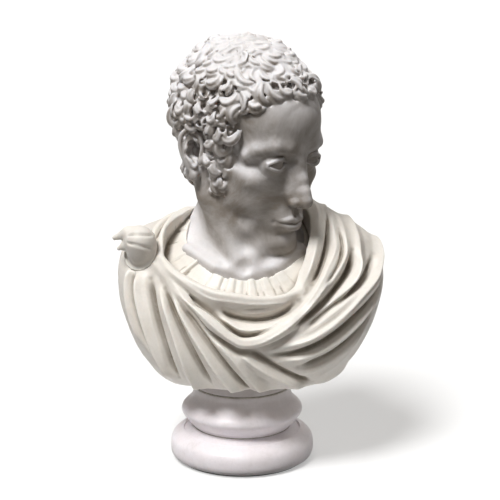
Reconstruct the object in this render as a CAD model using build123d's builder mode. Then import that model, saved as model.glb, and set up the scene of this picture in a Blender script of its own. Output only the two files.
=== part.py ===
from build123d import *

import os
from math import cos, radians, sin

# A draped marble portrait bust on a turned socle, in millimetres, standing on z = 0 and facing -Y.
# The socle's axis is the Z axis. A tie rod on that axis clamps the foot, the collar and the bust
# together. The head and neck are let into the bust along their own inclined axis, and the cloak's
# clasp is pinned on.

STANDING = (Align.CENTER, Align.CENTER, Align.MIN)

# Bedding joints: thin layers of lime putty between the stones
BED = 1.5

# Felt and turned foot; its side as (radius, height) points from the felt up to the waist
FELT_THICKNESS = 2.5
FELT_OUTER_RADIUS = 92.0
FELT_INNER_RADIUS = 42.0
FOOT_RADIUS = 102.0
FOOT_TOP = 46.0
WAIST_RADIUS = 70.0
FOOT_SIDE = [
    (FOOT_RADIUS - 7, FELT_THICKNESS),
    (FOOT_RADIUS - 1.2, 8),
    (FOOT_RADIUS, 17),
    (FOOT_RADIUS - 1, 26),
    (FOOT_RADIUS - 7, 35),
    (FOOT_RADIUS - 19, 41),
    (WAIST_RADIUS, FOOT_TOP),
]
FOOT_SIDE_ENDS = [(1, 0.35), (-1, 0.7)]

# Turned collar between the foot and the bust; its side as (radius, height) points
COLLAR_BOTTOM = FOOT_TOP + BED
COLLAR_TOP = 104.0
RING_RADIUS = 86.0
RING_HEIGHT = 70.0
COLLAR_NECK_RADIUS = 69.0
COLLAR_SIDE = [
    (WAIST_RADIUS, COLLAR_BOTTOM),
    (WAIST_RADIUS + 4, COLLAR_BOTTOM + 5.5),
    (RING_RADIUS - 3.5, RING_HEIGHT - 7.5),
    (RING_RADIUS, RING_HEIGHT),
    (RING_RADIUS - 3, RING_HEIGHT + 6.5),
    (COLLAR_NECK_RADIUS + 4.5, RING_HEIGHT + 16),
    (COLLAR_NECK_RADIUS, RING_HEIGHT + 27),
    (COLLAR_NECK_RADIUS, COLLAR_TOP),
]
COLLAR_SIDE_ENDS = [(0.1, 1), (0, 1)]
FOOT_BED_SETBACK = 0.5
BUST_BED_SETBACK = 0.5

# Tie rod and its fittings
ROD_RADIUS = 6.0
ROD_BORE_RADIUS = 8.0
ROD_BOTTOM = 5.0
ROD_TOP = 172.0
ROD_CHAMFER = 1.0
POCKET_RADIUS = 28.0
POCKET_TOP = 24.0
WASHER_RADIUS = 22.0
WASHER_THICKNESS = 3.0
WASHER_CLEARANCE = 0.5
WASHER_CHAMFER = 0.6
SPRING_WASHER_RADIUS = 10.5
SPRING_WASHER_THICKNESS = 2.5
SPRING_WASHER_CLEARANCE = 0.4
SPRING_WASHER_SPLIT = 1.2
NUT_ACROSS_FLATS = 18.0
NUT_HEIGHT = 10.0
NUT_CLEARANCE = 0.05
ANCHOR_RADIUS = 11.0
ANCHOR_TOP = ROD_TOP + 4

# Draped shoulders: (height, left, right, front, back) of each level section
BUST_BOTTOM = COLLAR_TOP + BED
BUST_SECTIONS = [
    (BUST_BOTTOM, -74, 78, -68, 70),
    (118, -104, 121, -88, 84),
    (150, -136, 154, -113, 97),
    (182, -154, 174, -123, 104),
    (228, -170, 192, -119, 108),
    (278, -175, 199, -100, 104),
    (308, -166, 190, -82, 96),
    (332, -132, 164, -62, 88),
    (350, -92, 118, -40, 80),
    (358, -66, 84, -24, 70),
]
HOLLOW_CENTRE = (12, 44, 166)
HOLLOW_SIZE = (106, 118, 60)
PILLAR_CENTRE = (4, 24)
# (height, half sizes) of the pillar, which flares into the block above and below
PILLAR_SECTIONS = [(90, (66, 64)), (150, (33, 36)), (245, (56, 54))]

# Neck joint: an inclined circle on the chest, low in front and high at the nape
NECK_JOINT_CENTRE = (4, -6, 310)
NECK_JOINT_TILT = 34.0
NECK_JOINT_RADIUS = 86.0
PLUG_DEPTH = 40.0
PLUG_END_RADIUS = 70.0
NECK_OPENING_HEIGHT = 160.0
NECK_RADIUS = 64.0
NECK_BASE = (4, 4, 352)
NECK_BASE_LEAN = (0, -0.25, 1)
NECK_TOP = (4, 8, 420)
NECK_COLUMN_FOOT = (4, 6, 336)
NECK_COLUMN_HEIGHT = 60.0
NECK_GAP = 5.0
DOWEL_RADIUS = 8.0
DOWEL_LENGTH = 92.0
DOWEL_CLEARANCE = 1.0
DOWEL_CHAMFER = 1.0

# Head, in its own frame: origin between the ears, facing -Y, then turned and bowed
HEAD_CENTRE = (6, 8, 437)
HEAD_YAW = 44.0
HEAD_BOW = 12.0
# (height, half width, front, back) of each level section, hair included
HEAD_SECTIONS = [
    (-122, 22, -84, -40),
    (-106, 44, -95, -22),
    (-80, 58, -99, 20),
    (-45, 72, -101, 68),
    (-10, 86, -103, 106),
    (30, 96, -105, 124),
    (70, 99, -106, 129),
    (110, 92, -94, 120),
    (138, 70, -68, 94),
    (153, 44, -38, 62),
    (161, 14, -6, 30),
]
NOSE_PROFILE = [(-96, 26), (-129, -20), (-125, -28), (-96, -30)]
NOSE_WIDTH = 22.0
EAR_CENTRE = (14, -4)
EAR_SIZE = (18, 33)
EAR_REACH = 97.0

# Clasp on the right shoulder
CLASP_SEAT = (-139, -33, 301)
CLASP_DIRECTION = (-0.42, -0.83, 0.36)
CLASP_RADIUS = 25.0
CLASP_SPOT_RADIUS = 24.5
CLASP_SPOT_MARGIN = 1.5
CLASP_SPOT_REACH = 70.0
# (height above its seat, radius) of the sections that make the dome
CLASP_SECTIONS = [(0, CLASP_SPOT_RADIUS), (8, CLASP_RADIUS), (23, 20), (31.75, 7.5)]
PIN_RADIUS = 4.0
PIN_CLEARANCE = 0.5
PIN_DEPTH_IN_BUST = 30.0
PIN_DEPTH_IN_CLASP = 16.0
PIN_END_GAP = 0.5
PIN_CHAMFER = 0.8


def ellipse_between(left, right, front, back):
    """An ellipse that reaches the four given sides."""
    with Locations(((left + right) / 2, (front + back) / 2)):
        Ellipse((right - left) / 2, (back - front) / 2)


def save(builder, name):
    """Labels a finished piece and writes its STEP file."""
    builder.part.label = name
    export_step(builder.part, f"parts/{name}.step")


os.makedirs("parts", exist_ok=True)

neck_plane = Plane(
    origin=NECK_JOINT_CENTRE,
    x_dir=(1, 0, 0),
    z_dir=(0, -sin(radians(NECK_JOINT_TILT)), cos(radians(NECK_JOINT_TILT))),
)
plug_plane = neck_plane.offset(-PLUG_DEPTH)
socket_plane = neck_plane.offset(-PLUG_DEPTH - BED)
dowel_hole_plane = plug_plane.offset(-DOWEL_LENGTH / 2)
neck_base_plane = Plane(origin=NECK_BASE, z_dir=NECK_BASE_LEAN)
neck_top_plane = Plane(origin=NECK_TOP)
clasp_plane = Plane(origin=CLASP_SEAT, z_dir=CLASP_DIRECTION)
head_turn = Location((0, 0, 0), (0, 0, HEAD_YAW))
head_nod = Location((0, 0, 0), (HEAD_BOW, 0, 0))
head_location = Location(HEAD_CENTRE) * head_turn * head_nod

# Felt ring glued under the foot
with BuildPart() as base_felt:
    with BuildSketch():
        Circle(FELT_OUTER_RADIUS)
        Circle(FELT_INNER_RADIUS, mode=Mode.SUBTRACT)
    extrude(amount=FELT_THICKNESS)

# Turned foot: a cushion-shaped disc with a fastener pocket underneath
with BuildPart() as socle_foot:
    with BuildSketch(Plane.XZ):
        with BuildLine():
            Polyline((0, FOOT_TOP), (0, FELT_THICKNESS), FOOT_SIDE[0])
            Spline(*FOOT_SIDE, tangents=FOOT_SIDE_ENDS)
            Line(FOOT_SIDE[-1], (0, FOOT_TOP))
        make_face()
    revolve(axis=Axis.Z)
    with Locations((0, 0, FELT_THICKNESS)):
        Cylinder(POCKET_RADIUS, POCKET_TOP - FELT_THICKNESS, align=STANDING, mode=Mode.SUBTRACT)
    Hole(ROD_BORE_RADIUS)

# Turned collar: a concave neck over a bold ring
with BuildPart() as socle_collar:
    with BuildSketch(Plane.XZ):
        with BuildLine():
            Polyline((0, COLLAR_TOP), (0, COLLAR_BOTTOM), COLLAR_SIDE[0])
            Spline(*COLLAR_SIDE, tangents=COLLAR_SIDE_ENDS)
            Line(COLLAR_SIDE[-1], (0, COLLAR_TOP))
        make_face()
    revolve(axis=Axis.Z)
    Hole(ROD_BORE_RADIUS)


def bedding(bottom, outer_radius):
    """A thin ring of lime putty, BED thick, standing on a joint."""
    with BuildPart() as bed:
        with BuildSketch(Plane.XY.offset(bottom)):
            Circle(outer_radius)
            Circle(ROD_BORE_RADIUS, mode=Mode.SUBTRACT)
        extrude(amount=BED)
    return bed


foot_bed = bedding(FOOT_TOP, WAIST_RADIUS - FOOT_BED_SETBACK)
bust_bed = bedding(COLLAR_TOP, COLLAR_NECK_RADIUS - BUST_BED_SETBACK)

# Scooped hollow behind the shoulders, with the central pillar left standing in it
with BuildPart() as scoop:
    Sphere(1)
    scale(by=HOLLOW_SIZE)

with BuildPart() as hollow:
    with Locations(HOLLOW_CENTRE):
        add(scoop.part)
    for height, size in PILLAR_SECTIONS:
        with BuildSketch(Plane.XY.offset(height)):
            with Locations(PILLAR_CENTRE):
                Ellipse(*size)
    loft(mode=Mode.SUBTRACT)

# Draped shoulders: one block
with BuildPart() as draped_bust:
    for height, left, right, front, back in BUST_SECTIONS:
        with BuildSketch(Plane.XY.offset(height)):
            ellipse_between(left, right, front, back)
    loft()
    add(hollow.part, mode=Mode.SUBTRACT)
    # Neck opening above the inclined joint, and the tapered socket below it
    with BuildSketch(neck_plane):
        Circle(NECK_JOINT_RADIUS + BED)
    extrude(amount=NECK_OPENING_HEIGHT, mode=Mode.SUBTRACT)
    with Locations(NECK_COLUMN_FOOT):
        Cylinder(NECK_RADIUS + NECK_GAP, NECK_COLUMN_HEIGHT, align=STANDING, mode=Mode.SUBTRACT)
    with Locations(socket_plane.location):
        Cone(
            PLUG_END_RADIUS + BED,
            NECK_JOINT_RADIUS + BED,
            PLUG_DEPTH + BED,
            align=STANDING,
            mode=Mode.SUBTRACT,
        )
    with BuildSketch(dowel_hole_plane):
        Circle(DOWEL_RADIUS + DOWEL_CLEARANCE)
    extrude(amount=DOWEL_LENGTH / 2, mode=Mode.SUBTRACT)
    # Blind hole for the tie rod's anchor
    with BuildSketch(Plane.XY.offset(BUST_BOTTOM)):
        Circle(ANCHOR_RADIUS)
    extrude(amount=ANCHOR_TOP - BUST_BOTTOM, mode=Mode.SUBTRACT)
    # Flat seat and blind hole for the clasp
    with BuildSketch(clasp_plane):
        Circle(CLASP_SPOT_RADIUS + CLASP_SPOT_MARGIN)
    extrude(amount=CLASP_SPOT_REACH, mode=Mode.SUBTRACT)
    with BuildSketch(clasp_plane.offset(-PIN_DEPTH_IN_BUST)):
        Circle(PIN_RADIUS + PIN_CLEARANCE)
    extrude(amount=PIN_DEPTH_IN_BUST, mode=Mode.SUBTRACT)

# Putty bed lining the neck socket
with BuildPart() as neck_bed:
    with Locations(socket_plane.location):
        Cone(PLUG_END_RADIUS + BED, NECK_JOINT_RADIUS + BED, PLUG_DEPTH + BED, align=STANDING)
        Cylinder(DOWEL_RADIUS + DOWEL_CLEARANCE, BED, align=STANDING, mode=Mode.SUBTRACT)
    with Locations(plug_plane.location):
        Cone(
            PLUG_END_RADIUS,
            NECK_JOINT_RADIUS,
            PLUG_DEPTH,
            align=STANDING,
            mode=Mode.SUBTRACT,
        )

# Head and neck: one block, with the tapered plug that is let into the bust
with BuildPart() as head_form:
    for height, half_width, front, back in HEAD_SECTIONS:
        with BuildSketch(Plane.XY.offset(height)):
            ellipse_between(-half_width, half_width, front, back)
    loft()
    with BuildSketch(Plane.YZ):
        with BuildLine():
            Polyline(*NOSE_PROFILE, close=True)
        make_face()
    extrude(amount=NOSE_WIDTH / 2, both=True)
    with BuildSketch(Plane.YZ):
        with Locations(EAR_CENTRE):
            Ellipse(*EAR_SIZE)
    extrude(amount=EAR_REACH, both=True)

with BuildPart() as head_and_neck:
    with Locations(plug_plane.location):
        Cone(PLUG_END_RADIUS, NECK_JOINT_RADIUS, PLUG_DEPTH, align=STANDING)
    with BuildSketch(neck_plane):
        Circle(NECK_JOINT_RADIUS)
    with BuildSketch(neck_base_plane):
        Circle(NECK_RADIUS)
    loft()
    with BuildSketch(neck_base_plane):
        Circle(NECK_RADIUS)
    with BuildSketch(neck_top_plane):
        Circle(NECK_RADIUS)
    loft()
    add(head_form.part.moved(head_location))
    with BuildSketch(plug_plane):
        Circle(DOWEL_RADIUS + DOWEL_CLEARANCE)
    extrude(amount=DOWEL_LENGTH / 2, mode=Mode.SUBTRACT)

# Dowel across the neck joint
with BuildPart() as neck_dowel:
    with BuildSketch(dowel_hole_plane.offset(DOWEL_CLEARANCE)):
        Circle(DOWEL_RADIUS)
    extrude(amount=DOWEL_LENGTH - 2 * DOWEL_CLEARANCE)
    chamfer(neck_dowel.edges(), DOWEL_CHAMFER)

# Domed clasp and the pin that holds it
with BuildPart() as cloak_clasp:
    for rise, radius in CLASP_SECTIONS:
        with BuildSketch(clasp_plane.offset(rise)):
            Circle(radius)
    loft()
    with BuildSketch(clasp_plane):
        Circle(PIN_RADIUS + PIN_CLEARANCE)
    extrude(amount=PIN_DEPTH_IN_CLASP, mode=Mode.SUBTRACT)

with BuildPart() as clasp_pin:
    with BuildSketch(clasp_plane.offset(PIN_END_GAP - PIN_DEPTH_IN_BUST)):
        Circle(PIN_RADIUS)
    extrude(amount=PIN_DEPTH_IN_BUST + PIN_DEPTH_IN_CLASP - 2 * PIN_END_GAP)
    chamfer(clasp_pin.edges(), PIN_CHAMFER)

# Tie rod, set in an anchor in the bust and drawn down by a nut in the foot's pocket
with BuildPart() as tie_rod:
    with BuildSketch(Plane.XY.offset(ROD_BOTTOM)):
        Circle(ROD_RADIUS)
    extrude(amount=ROD_TOP - ROD_BOTTOM)
    chamfer(tie_rod.edges(), ROD_CHAMFER)

with BuildPart() as rod_anchor:
    with BuildSketch(Plane.XY.offset(BUST_BOTTOM)):
        Circle(ANCHOR_RADIUS)
    extrude(amount=ANCHOR_TOP - BUST_BOTTOM)
    with BuildSketch(Plane.XY.offset(BUST_BOTTOM)):
        Circle(ROD_RADIUS)
    extrude(amount=ROD_TOP - BUST_BOTTOM, mode=Mode.SUBTRACT)

with BuildPart() as pocket_washer:
    with BuildSketch(Plane.XY.offset(POCKET_TOP - WASHER_THICKNESS)):
        Circle(WASHER_RADIUS)
        Circle(ROD_RADIUS + WASHER_CLEARANCE, mode=Mode.SUBTRACT)
    extrude(amount=WASHER_THICKNESS)
    lower_rim = pocket_washer.edges().group_by(Axis.Z)[0].sort_by(SortBy.RADIUS)[-1]
    chamfer(lower_rim, WASHER_CHAMFER)

spring_washer_top = POCKET_TOP - WASHER_THICKNESS
with BuildPart() as spring_washer:
    with BuildSketch(Plane.XY.offset(spring_washer_top - SPRING_WASHER_THICKNESS)):
        Circle(SPRING_WASHER_RADIUS)
        Circle(ROD_RADIUS + SPRING_WASHER_CLEARANCE, mode=Mode.SUBTRACT)
        with Locations((SPRING_WASHER_RADIUS, 0)):
            Rectangle(2 * SPRING_WASHER_RADIUS, SPRING_WASHER_SPLIT, mode=Mode.SUBTRACT)
    extrude(amount=SPRING_WASHER_THICKNESS)

nut_top = spring_washer_top - SPRING_WASHER_THICKNESS
with BuildPart() as rod_nut:
    with BuildSketch(Plane.XY.offset(nut_top - NUT_HEIGHT)):
        RegularPolygon(NUT_ACROSS_FLATS / 2, 6, major_radius=False)
        Circle(ROD_RADIUS + NUT_CLEARANCE, mode=Mode.SUBTRACT)
    extrude(amount=NUT_HEIGHT)

for piece, piece_name in (
    (base_felt, "base_felt"),
    (socle_foot, "socle_foot"),
    (foot_bed, "foot_bed"),
    (socle_collar, "socle_collar"),
    (bust_bed, "bust_bed"),
    (draped_bust, "draped_bust"),
    (neck_bed, "neck_bed"),
    (head_and_neck, "head_and_neck"),
    (neck_dowel, "neck_dowel"),
    (cloak_clasp, "cloak_clasp"),
    (clasp_pin, "clasp_pin"),
    (tie_rod, "tie_rod"),
    (rod_anchor, "rod_anchor"),
    (pocket_washer, "pocket_washer"),
    (spring_washer, "spring_washer"),
    (rod_nut, "rod_nut"),
):
    save(piece, piece_name)
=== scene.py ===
from math import radians

import bpy
import numpy as np
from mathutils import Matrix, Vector


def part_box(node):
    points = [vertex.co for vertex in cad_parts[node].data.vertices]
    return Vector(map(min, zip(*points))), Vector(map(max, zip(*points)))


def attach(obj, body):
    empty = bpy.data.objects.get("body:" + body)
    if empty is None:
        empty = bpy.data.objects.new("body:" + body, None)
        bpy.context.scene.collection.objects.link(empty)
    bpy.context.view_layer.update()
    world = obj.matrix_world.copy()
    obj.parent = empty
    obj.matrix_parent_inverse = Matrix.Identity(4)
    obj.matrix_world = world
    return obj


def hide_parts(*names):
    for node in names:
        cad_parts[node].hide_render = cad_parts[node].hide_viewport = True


# A marble portrait bust on a turned socle. The head, the drapery and the clasp are carved here, in
# millimetres, as fields of signed distances, which are then skinned with a mesh. The other pieces are
# the CAD model's own, with finer materials.

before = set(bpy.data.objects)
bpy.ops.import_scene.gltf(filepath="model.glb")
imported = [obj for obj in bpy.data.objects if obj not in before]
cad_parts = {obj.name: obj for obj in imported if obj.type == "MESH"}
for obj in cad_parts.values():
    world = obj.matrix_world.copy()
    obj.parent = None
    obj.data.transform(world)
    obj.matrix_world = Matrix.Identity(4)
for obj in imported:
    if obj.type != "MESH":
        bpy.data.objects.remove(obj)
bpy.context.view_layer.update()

MM = 0.001
# The distance that an empty block starts with
FAR = 60.0
# The spacing of the fields
HEAD_STEP = 1.2
DRAPERY_STEP = 1.5
CLASP_STEP = 0.6
# Finer meshes are thinned out to this
MOST_TRIANGLES = 192000


# ---------------------------------------------------------------- carving

class Stone:
    """A block of evenly spaced signed distances, negative inside the stone, in millimetres."""

    def __init__(self, low, high, step):
        self.low = np.array(low, np.float32)
        self.step = float(step)
        counts = np.ceil((np.array(high) - self.low) / step).astype(int) + 1
        self.axes = [(self.low[i] + step * np.arange(counts[i])).astype(np.float32) for i in range(3)]
        self.field = np.full(counts, FAR, np.float32)

    def window(self, low, high):
        """The part of the block between two corners, and its coordinates."""
        begin = np.floor((np.array(low) - self.low) / self.step).astype(int).clip(0)
        end = np.ceil((np.array(high) - self.low) / self.step).astype(int) + 1
        end = np.minimum(end, self.field.shape)
        part = tuple(slice(a, max(a, b)) for a, b in zip(begin, end))
        x, y, z = (self.axes[i][part[i]] for i in range(3))
        return part, (x[:, None, None], y[None, :, None], z[None, None, :])

    def grid(self):
        """The coordinates of the whole block."""
        x, y, z = self.axes
        return x[:, None, None], y[None, :, None], z[None, None, :]

    def add(self, form, blend=2.0):
        """Joins a form to the stone, with a fillet about as wide as blend."""
        shape, low, high = form
        part, at = self.window(np.array(low) - blend - 3, np.array(high) + blend + 3)
        self.field[part] = soft_min(self.field[part], shape(*at), blend)

    def cut(self, form, blend=2.0):
        """Takes a form out of the stone, with its edges softened by blend."""
        shape, low, high = form
        part, at = self.window(np.array(low) - blend - 3, np.array(high) + blend + 3)
        self.field[part] = -soft_min(-self.field[part], shape(*at), blend)


def soft_min(a, b, blend):
    """The smaller of two distances, with the corner between them rounded off."""
    if blend <= 0:
        return np.minimum(a, b)
    h = np.maximum(blend - np.abs(a - b), 0) / blend
    return np.minimum(a, b) - h * h * (blend / 4)


def egg(centre, radii):
    """An ellipsoid."""
    c, r = np.array(centre, np.float32), np.array(radii, np.float32)

    def shape(x, y, z):
        u, v, w = (x - c[0]) / r[0], (y - c[1]) / r[1], (z - c[2]) / r[2]
        k0 = np.sqrt(u * u + v * v + w * w)
        k1 = np.sqrt((u / r[0]) ** 2 + (v / r[1]) ** 2 + (w / r[2]) ** 2)
        return k0 * (k0 - 1) / np.maximum(k1, 1e-6)

    return shape, c - r, c + r


def limb(a, b, ra, rb):
    """A rounded cone between two points."""
    a, b = np.array(a, np.float32), np.array(b, np.float32)
    d = b - a
    dd = float(d @ d) or 1.0

    def shape(x, y, z):
        px, py, pz = x - a[0], y - a[1], z - a[2]
        t = np.clip((px * d[0] + py * d[1] + pz * d[2]) / dd, 0, 1)
        q = np.sqrt((px - t * d[0]) ** 2 + (py - t * d[1]) ** 2 + (pz - t * d[2]) ** 2)
        return q - (ra + (rb - ra) * t)

    r = max(ra, rb)
    return shape, np.minimum(a, b) - r, np.maximum(a, b) + r


def bore(a, b, radius):
    """A flat-ended cylinder between two points."""
    a, b = np.array(a, np.float32), np.array(b, np.float32)
    length = float(np.linalg.norm(b - a))
    d = (b - a) / length

    def shape(x, y, z):
        px, py, pz = x - a[0], y - a[1], z - a[2]
        h = px * d[0] + py * d[1] + pz * d[2]
        r = np.sqrt(np.maximum(px**2 + py**2 + pz**2 - h**2, 0))
        return np.maximum(r - radius, np.abs(h - length / 2) - length / 2)

    return shape, np.minimum(a, b) - radius, np.maximum(a, b) + radius


def rope(points, radii, join=0.0):
    """Rounded cones end to end."""
    parts = [limb(points[i], points[i + 1], radii[i], radii[i + 1]) for i in range(len(points) - 1)]

    def shape(x, y, z):
        d = None
        for part, _, _ in parts:
            e = part(x, y, z)
            d = e if d is None else soft_min(d, e, join)
        return d

    low = np.min([p[1] for p in parts], axis=0)
    high = np.max([p[2] for p in parts], axis=0)
    return shape, low, high


def smooth_line(points, count):
    """A Catmull-Rom curve through points."""
    p = np.array(points, float)
    p = np.vstack([2 * p[0] - p[1], p, 2 * p[-1] - p[-2]])
    spans = len(p) - 3
    t = np.linspace(0, spans, count)
    i = np.minimum(t.astype(int), spans - 1)
    u = (t - i)[:, None]
    a, b, c, d = p[i], p[i + 1], p[i + 2], p[i + 3]
    return 0.5 * (2 * b + (c - a) * u + (2 * a - 5 * b + 4 * c - d) * u**2 + (3 * b - a - 3 * c + d) * u**3)


def ease(value, low, high):
    """Rises smoothly from 0 at low to 1 at high."""
    t = np.clip((value - low) / (high - low), 0, 1)
    return t * t * (3 - 2 * t)


def unit(vector):
    return vector / np.linalg.norm(vector)


# The neck joint of the CAD model: an inclined circle, low in front and high at the nape
NECK_JOINT = np.array((4.0, -6.0, 310.0))
NECK_TILT = radians(34)
NECK_AXIS = np.array((0, -np.sin(NECK_TILT), np.cos(NECK_TILT)))
PLUG_RADIUS = 86.0
PLUG_END_RADIUS = 70.0
PLUG_DEPTH = 40.0
BED = 1.5
PLUG_SLOPE = (PLUG_RADIUS - PLUG_END_RADIUS) / PLUG_DEPTH


def about_axis(x, y, z, centre, axis):
    """The distance from an axis, and the height along it."""
    dx, dy, dz = x - centre[0], y - centre[1], z - centre[2]
    h = dx * axis[0] + dy * axis[1] + dz * axis[2]
    return np.sqrt(np.maximum(dx**2 + dy**2 + dz**2 - h**2, 0)), h


# ---------------------------------------------------------------- head

# The head's own frame: origin between the ears, facing -Y, then bowed, turned and set on the bust
HEAD_CENTRE = np.array((6.0, 8.0, 437.0))
YAW = radians(44)
BOW = radians(12)
YAW_TURN = np.array([[np.cos(YAW), -np.sin(YAW), 0], [np.sin(YAW), np.cos(YAW), 0], [0, 0, 1]])
BOW_TURN = np.array([[1, 0, 0], [0, np.cos(BOW), -np.sin(BOW)], [0, np.sin(BOW), np.cos(BOW)]])
TURN = YAW_TURN @ BOW_TURN
SIDES = (-1, 1)


def to_head(point):
    """From the bust's frame to the head's own."""
    return (np.array(point, float) - HEAD_CENTRE) @ TURN


def to_bust(points):
    """From the head's own frame to the bust's."""
    return points @ TURN.T + HEAD_CENTRE


def carve_skull(s):
    s.add(egg((0, 14, 54), (80, 101, 90)), 0)
    s.add(egg((0, -26, 58), (70, 78, 66)), 22)
    s.add(egg((0, -30, -14), (57, 70, 72)), 28)
    for side in SIDES:
        jaw = [(side * 60, 8, -22), (side * 55, 0, -58), (side * 36, -48, -84), (side * 13, -86, -99)]
        s.add(rope(jaw, [13, 13, 13, 13], 10), 16)
        # cheekbone and its arch
        s.add(egg((side * 46, -68, -13), (19, 17, 15)), 20)
        s.add(rope([(side * 54, -60, -9), (side * 67, -34, -4), (side * 71, -4, 1)], [6.5, 5.5, 5], 6), 16)
        # fullness of the cheek, beside the mouth and under its bone
        s.add(egg((side * 34, -73, -44), (18, 15, 22)), 18)
        s.add(egg((side * 50, -42, -38), (14, 24, 26)), 20)
        # temple
        s.cut(egg((side * 84, -50, 38), (17, 26, 24)), 16)


def carve_brow(s):
    for side in SIDES:
        ridge = [(side * 6, -94, 32), (side * 22, -94.5, 37), (side * 40, -89, 38), (side * 56, -73, 30),
                 (side * 62, -62, 20)]
        s.add(rope(ridge, [5, 6, 6.5, 6, 4], 5), 16)
        # socket
        s.cut(egg((side * 36, -104, 17), (19, 15, 11)), 10)
        s.cut(egg((side * 17, -106, 17), (7, 9, 10)), 8)


EYE = (34.0, -82.5, 14.0)
EYEBALL = 14.6
IRIS = 5.4
# Half the width between the lids' corners
OPENING = 15.6


def eye_front(x, z, radius):
    """The y of an eyeball's surface in front of a point."""
    return EYE[1] - np.sqrt(np.maximum(radius**2 - (x - EYE[0]) ** 2 * 0.72 - (z - EYE[2]) ** 2, 9))


def carve_eye(s, side):
    """Ball, lids, crease, and the incised iris and pupil of a carved eye."""
    u = np.linspace(-1, 1, 13)
    across = EYE[0] + OPENING * u
    upper = EYE[2] + 0.3 + 6.9 * (1 - np.abs(u + 0.12) ** 2.3 / 1.3) + 0.9 * u
    lower = EYE[2] - 0.4 - 4.6 * (1 - u * u) + 0.9 * u
    centre = (side * EYE[0], EYE[1], EYE[2])

    def over_ball(x, z, radius, lift=0.0):
        return np.stack([side * x, eye_front(x, z, radius), z + lift], 1)

    def slit(x, y, z):
        v = (x * side - EYE[0]) / OPENING
        top = np.interp(v.ravel(), u, upper).reshape(v.shape)
        low = np.interp(v.ravel(), u, lower).reshape(v.shape)
        band = np.maximum(z - top, low - z)
        return np.maximum(band, (np.abs(v) - 1) * OPENING) * 0.9 + 0 * y

    s.add(egg(centre, (17.6, 15.8, 15.6)), 5)
    s.add(rope(over_ball(across, upper + 2.2, EYEBALL + 0.9), [1.8] * 13), 2.5)
    s.add(rope(over_ball(across, lower - 1.6, EYEBALL + 0.5), [1.6] * 13), 2.5)
    s.cut((slit, (side * EYE[0] - 18, -112, 2), (side * EYE[0] + 18, -84, 30)), 0.7)
    s.add(egg(centre, (EYEBALL, EYEBALL, EYEBALL)), 0.4)
    s.add(rope(over_ball(across, upper, EYEBALL + 1.0, 0.4), [1.3] * 13), 1.2)
    s.add(rope(over_ball(across, lower, EYEBALL + 0.6, -0.3), [1.1] * 13), 1.2)
    crease = upper + 5.2 - 1.2 * u * u
    s.cut(rope(over_ball(across, crease, EYEBALL + 1.6)[1:], [0.7] * 12), 2.2)
    s.add(egg((side * 18.6, -91.0, 12.6), (2.8, 2.6, 2)), 2)
    a = np.linspace(0, 2 * np.pi, 21)
    x, z = EYE[0] + IRIS * np.cos(a), EYE[2] + 1.3 + IRIS * np.sin(a)
    y = EYE[1] - np.sqrt(EYEBALL**2 - (x - EYE[0]) ** 2 - (z - EYE[2]) ** 2)
    s.cut(rope(np.stack([side * x, y, z], 1), [0.5] * 21), 0.6)
    s.cut(egg((side * EYE[0], EYE[1] - EYEBALL, EYE[2] + 1.3), (1.8, 1.4, 1.8)), 0.8)


def carve_nose(s):
    bridge = [(0, -92, 34), (0, -100, 16), (0, -109, -4), (0, -117, -20), (0, -121, -29)]
    s.add(rope(bridge, [7, 6.5, 7, 8, 8.5], 6), 11)
    s.add(egg((0, -123, -31), (8.5, 8.5, 8)), 6)
    for side in SIDES:
        s.add(limb((side * 7, -98, 4), (side * 11, -104, -24), 6, 8), 12)
        s.add(egg((side * 11.4, -110.5, -34), (6.0, 9.0, 6.8)), 5)
        wing = [(side * 13, -121, -26), (side * 18.4, -113, -26), (side * 20.5, -104, -32)]
        s.cut(rope(wing, [0.8, 1.0, 1.2]), 3)
        s.cut(egg((side * 7.2, -114, -41.0), (3.0, 5.6, 3.6)), 1.6)
    s.add(limb((0, -121, -38), (0, -108, -43), 2.6, 3.2), 3)


def carve_mouth(s):
    s.add(egg((0, -80, -64), (33, 29, 30)), 14)
    u = np.linspace(-1, 1, 19)
    x = 25.5 * u
    y = -109.5 + 12.5 * np.abs(u) ** 2.2
    ends = np.clip(1 - np.abs(u) ** 2.4, 0, 1)
    bow = -1.3 * np.exp(-((u * 6) ** 2)) + 1.0 * np.exp(-(((np.abs(u) - 0.24) * 7) ** 2))
    s.add(rope(np.stack([x, y + 0.8, -61.0 + bow - 3.6 * u * u], 1), 0.7 + 4.0 * ends, 0), 2.5)
    s.add(rope(np.stack([x * 0.9, y + 1.6, -72.0 + 5.2 * u * u], 1), 0.7 + 5.2 * ends, 0), 2.5)
    parting = -66.0 - 0.9 * np.exp(-((u * 5) ** 2)) + 0.6 * np.abs(u)
    s.cut(rope(np.stack([x * 1.04, y - 1.0 * ends - 1.0, parting], 1), 0.8 + 0.7 * ends), 1.2)
    for side in SIDES:
        s.cut(egg((side * 27.4, -98, -65.6), (2.2, 3.2, 2.2)), 5)
        s.cut(limb((side * 21, -106, -40), (side * 35, -96, -60), 1.4, 1.2), 8)
        s.add(limb((side * 3.8, -104, -46), (side * 5.4, -107.5, -56), 1.8, 2.2), 4)
    s.cut(limb((0, -108, -46), (0, -111.5, -55), 2.0, 2.6), 6)
    s.cut(rope([(-15, -103, -83), (0, -108, -84.5), (15, -103, -83)], [1.5, 2.6, 1.5]), 8)
    s.add(egg((0, -90, -99), (20, 18, 15)), 10)


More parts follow.
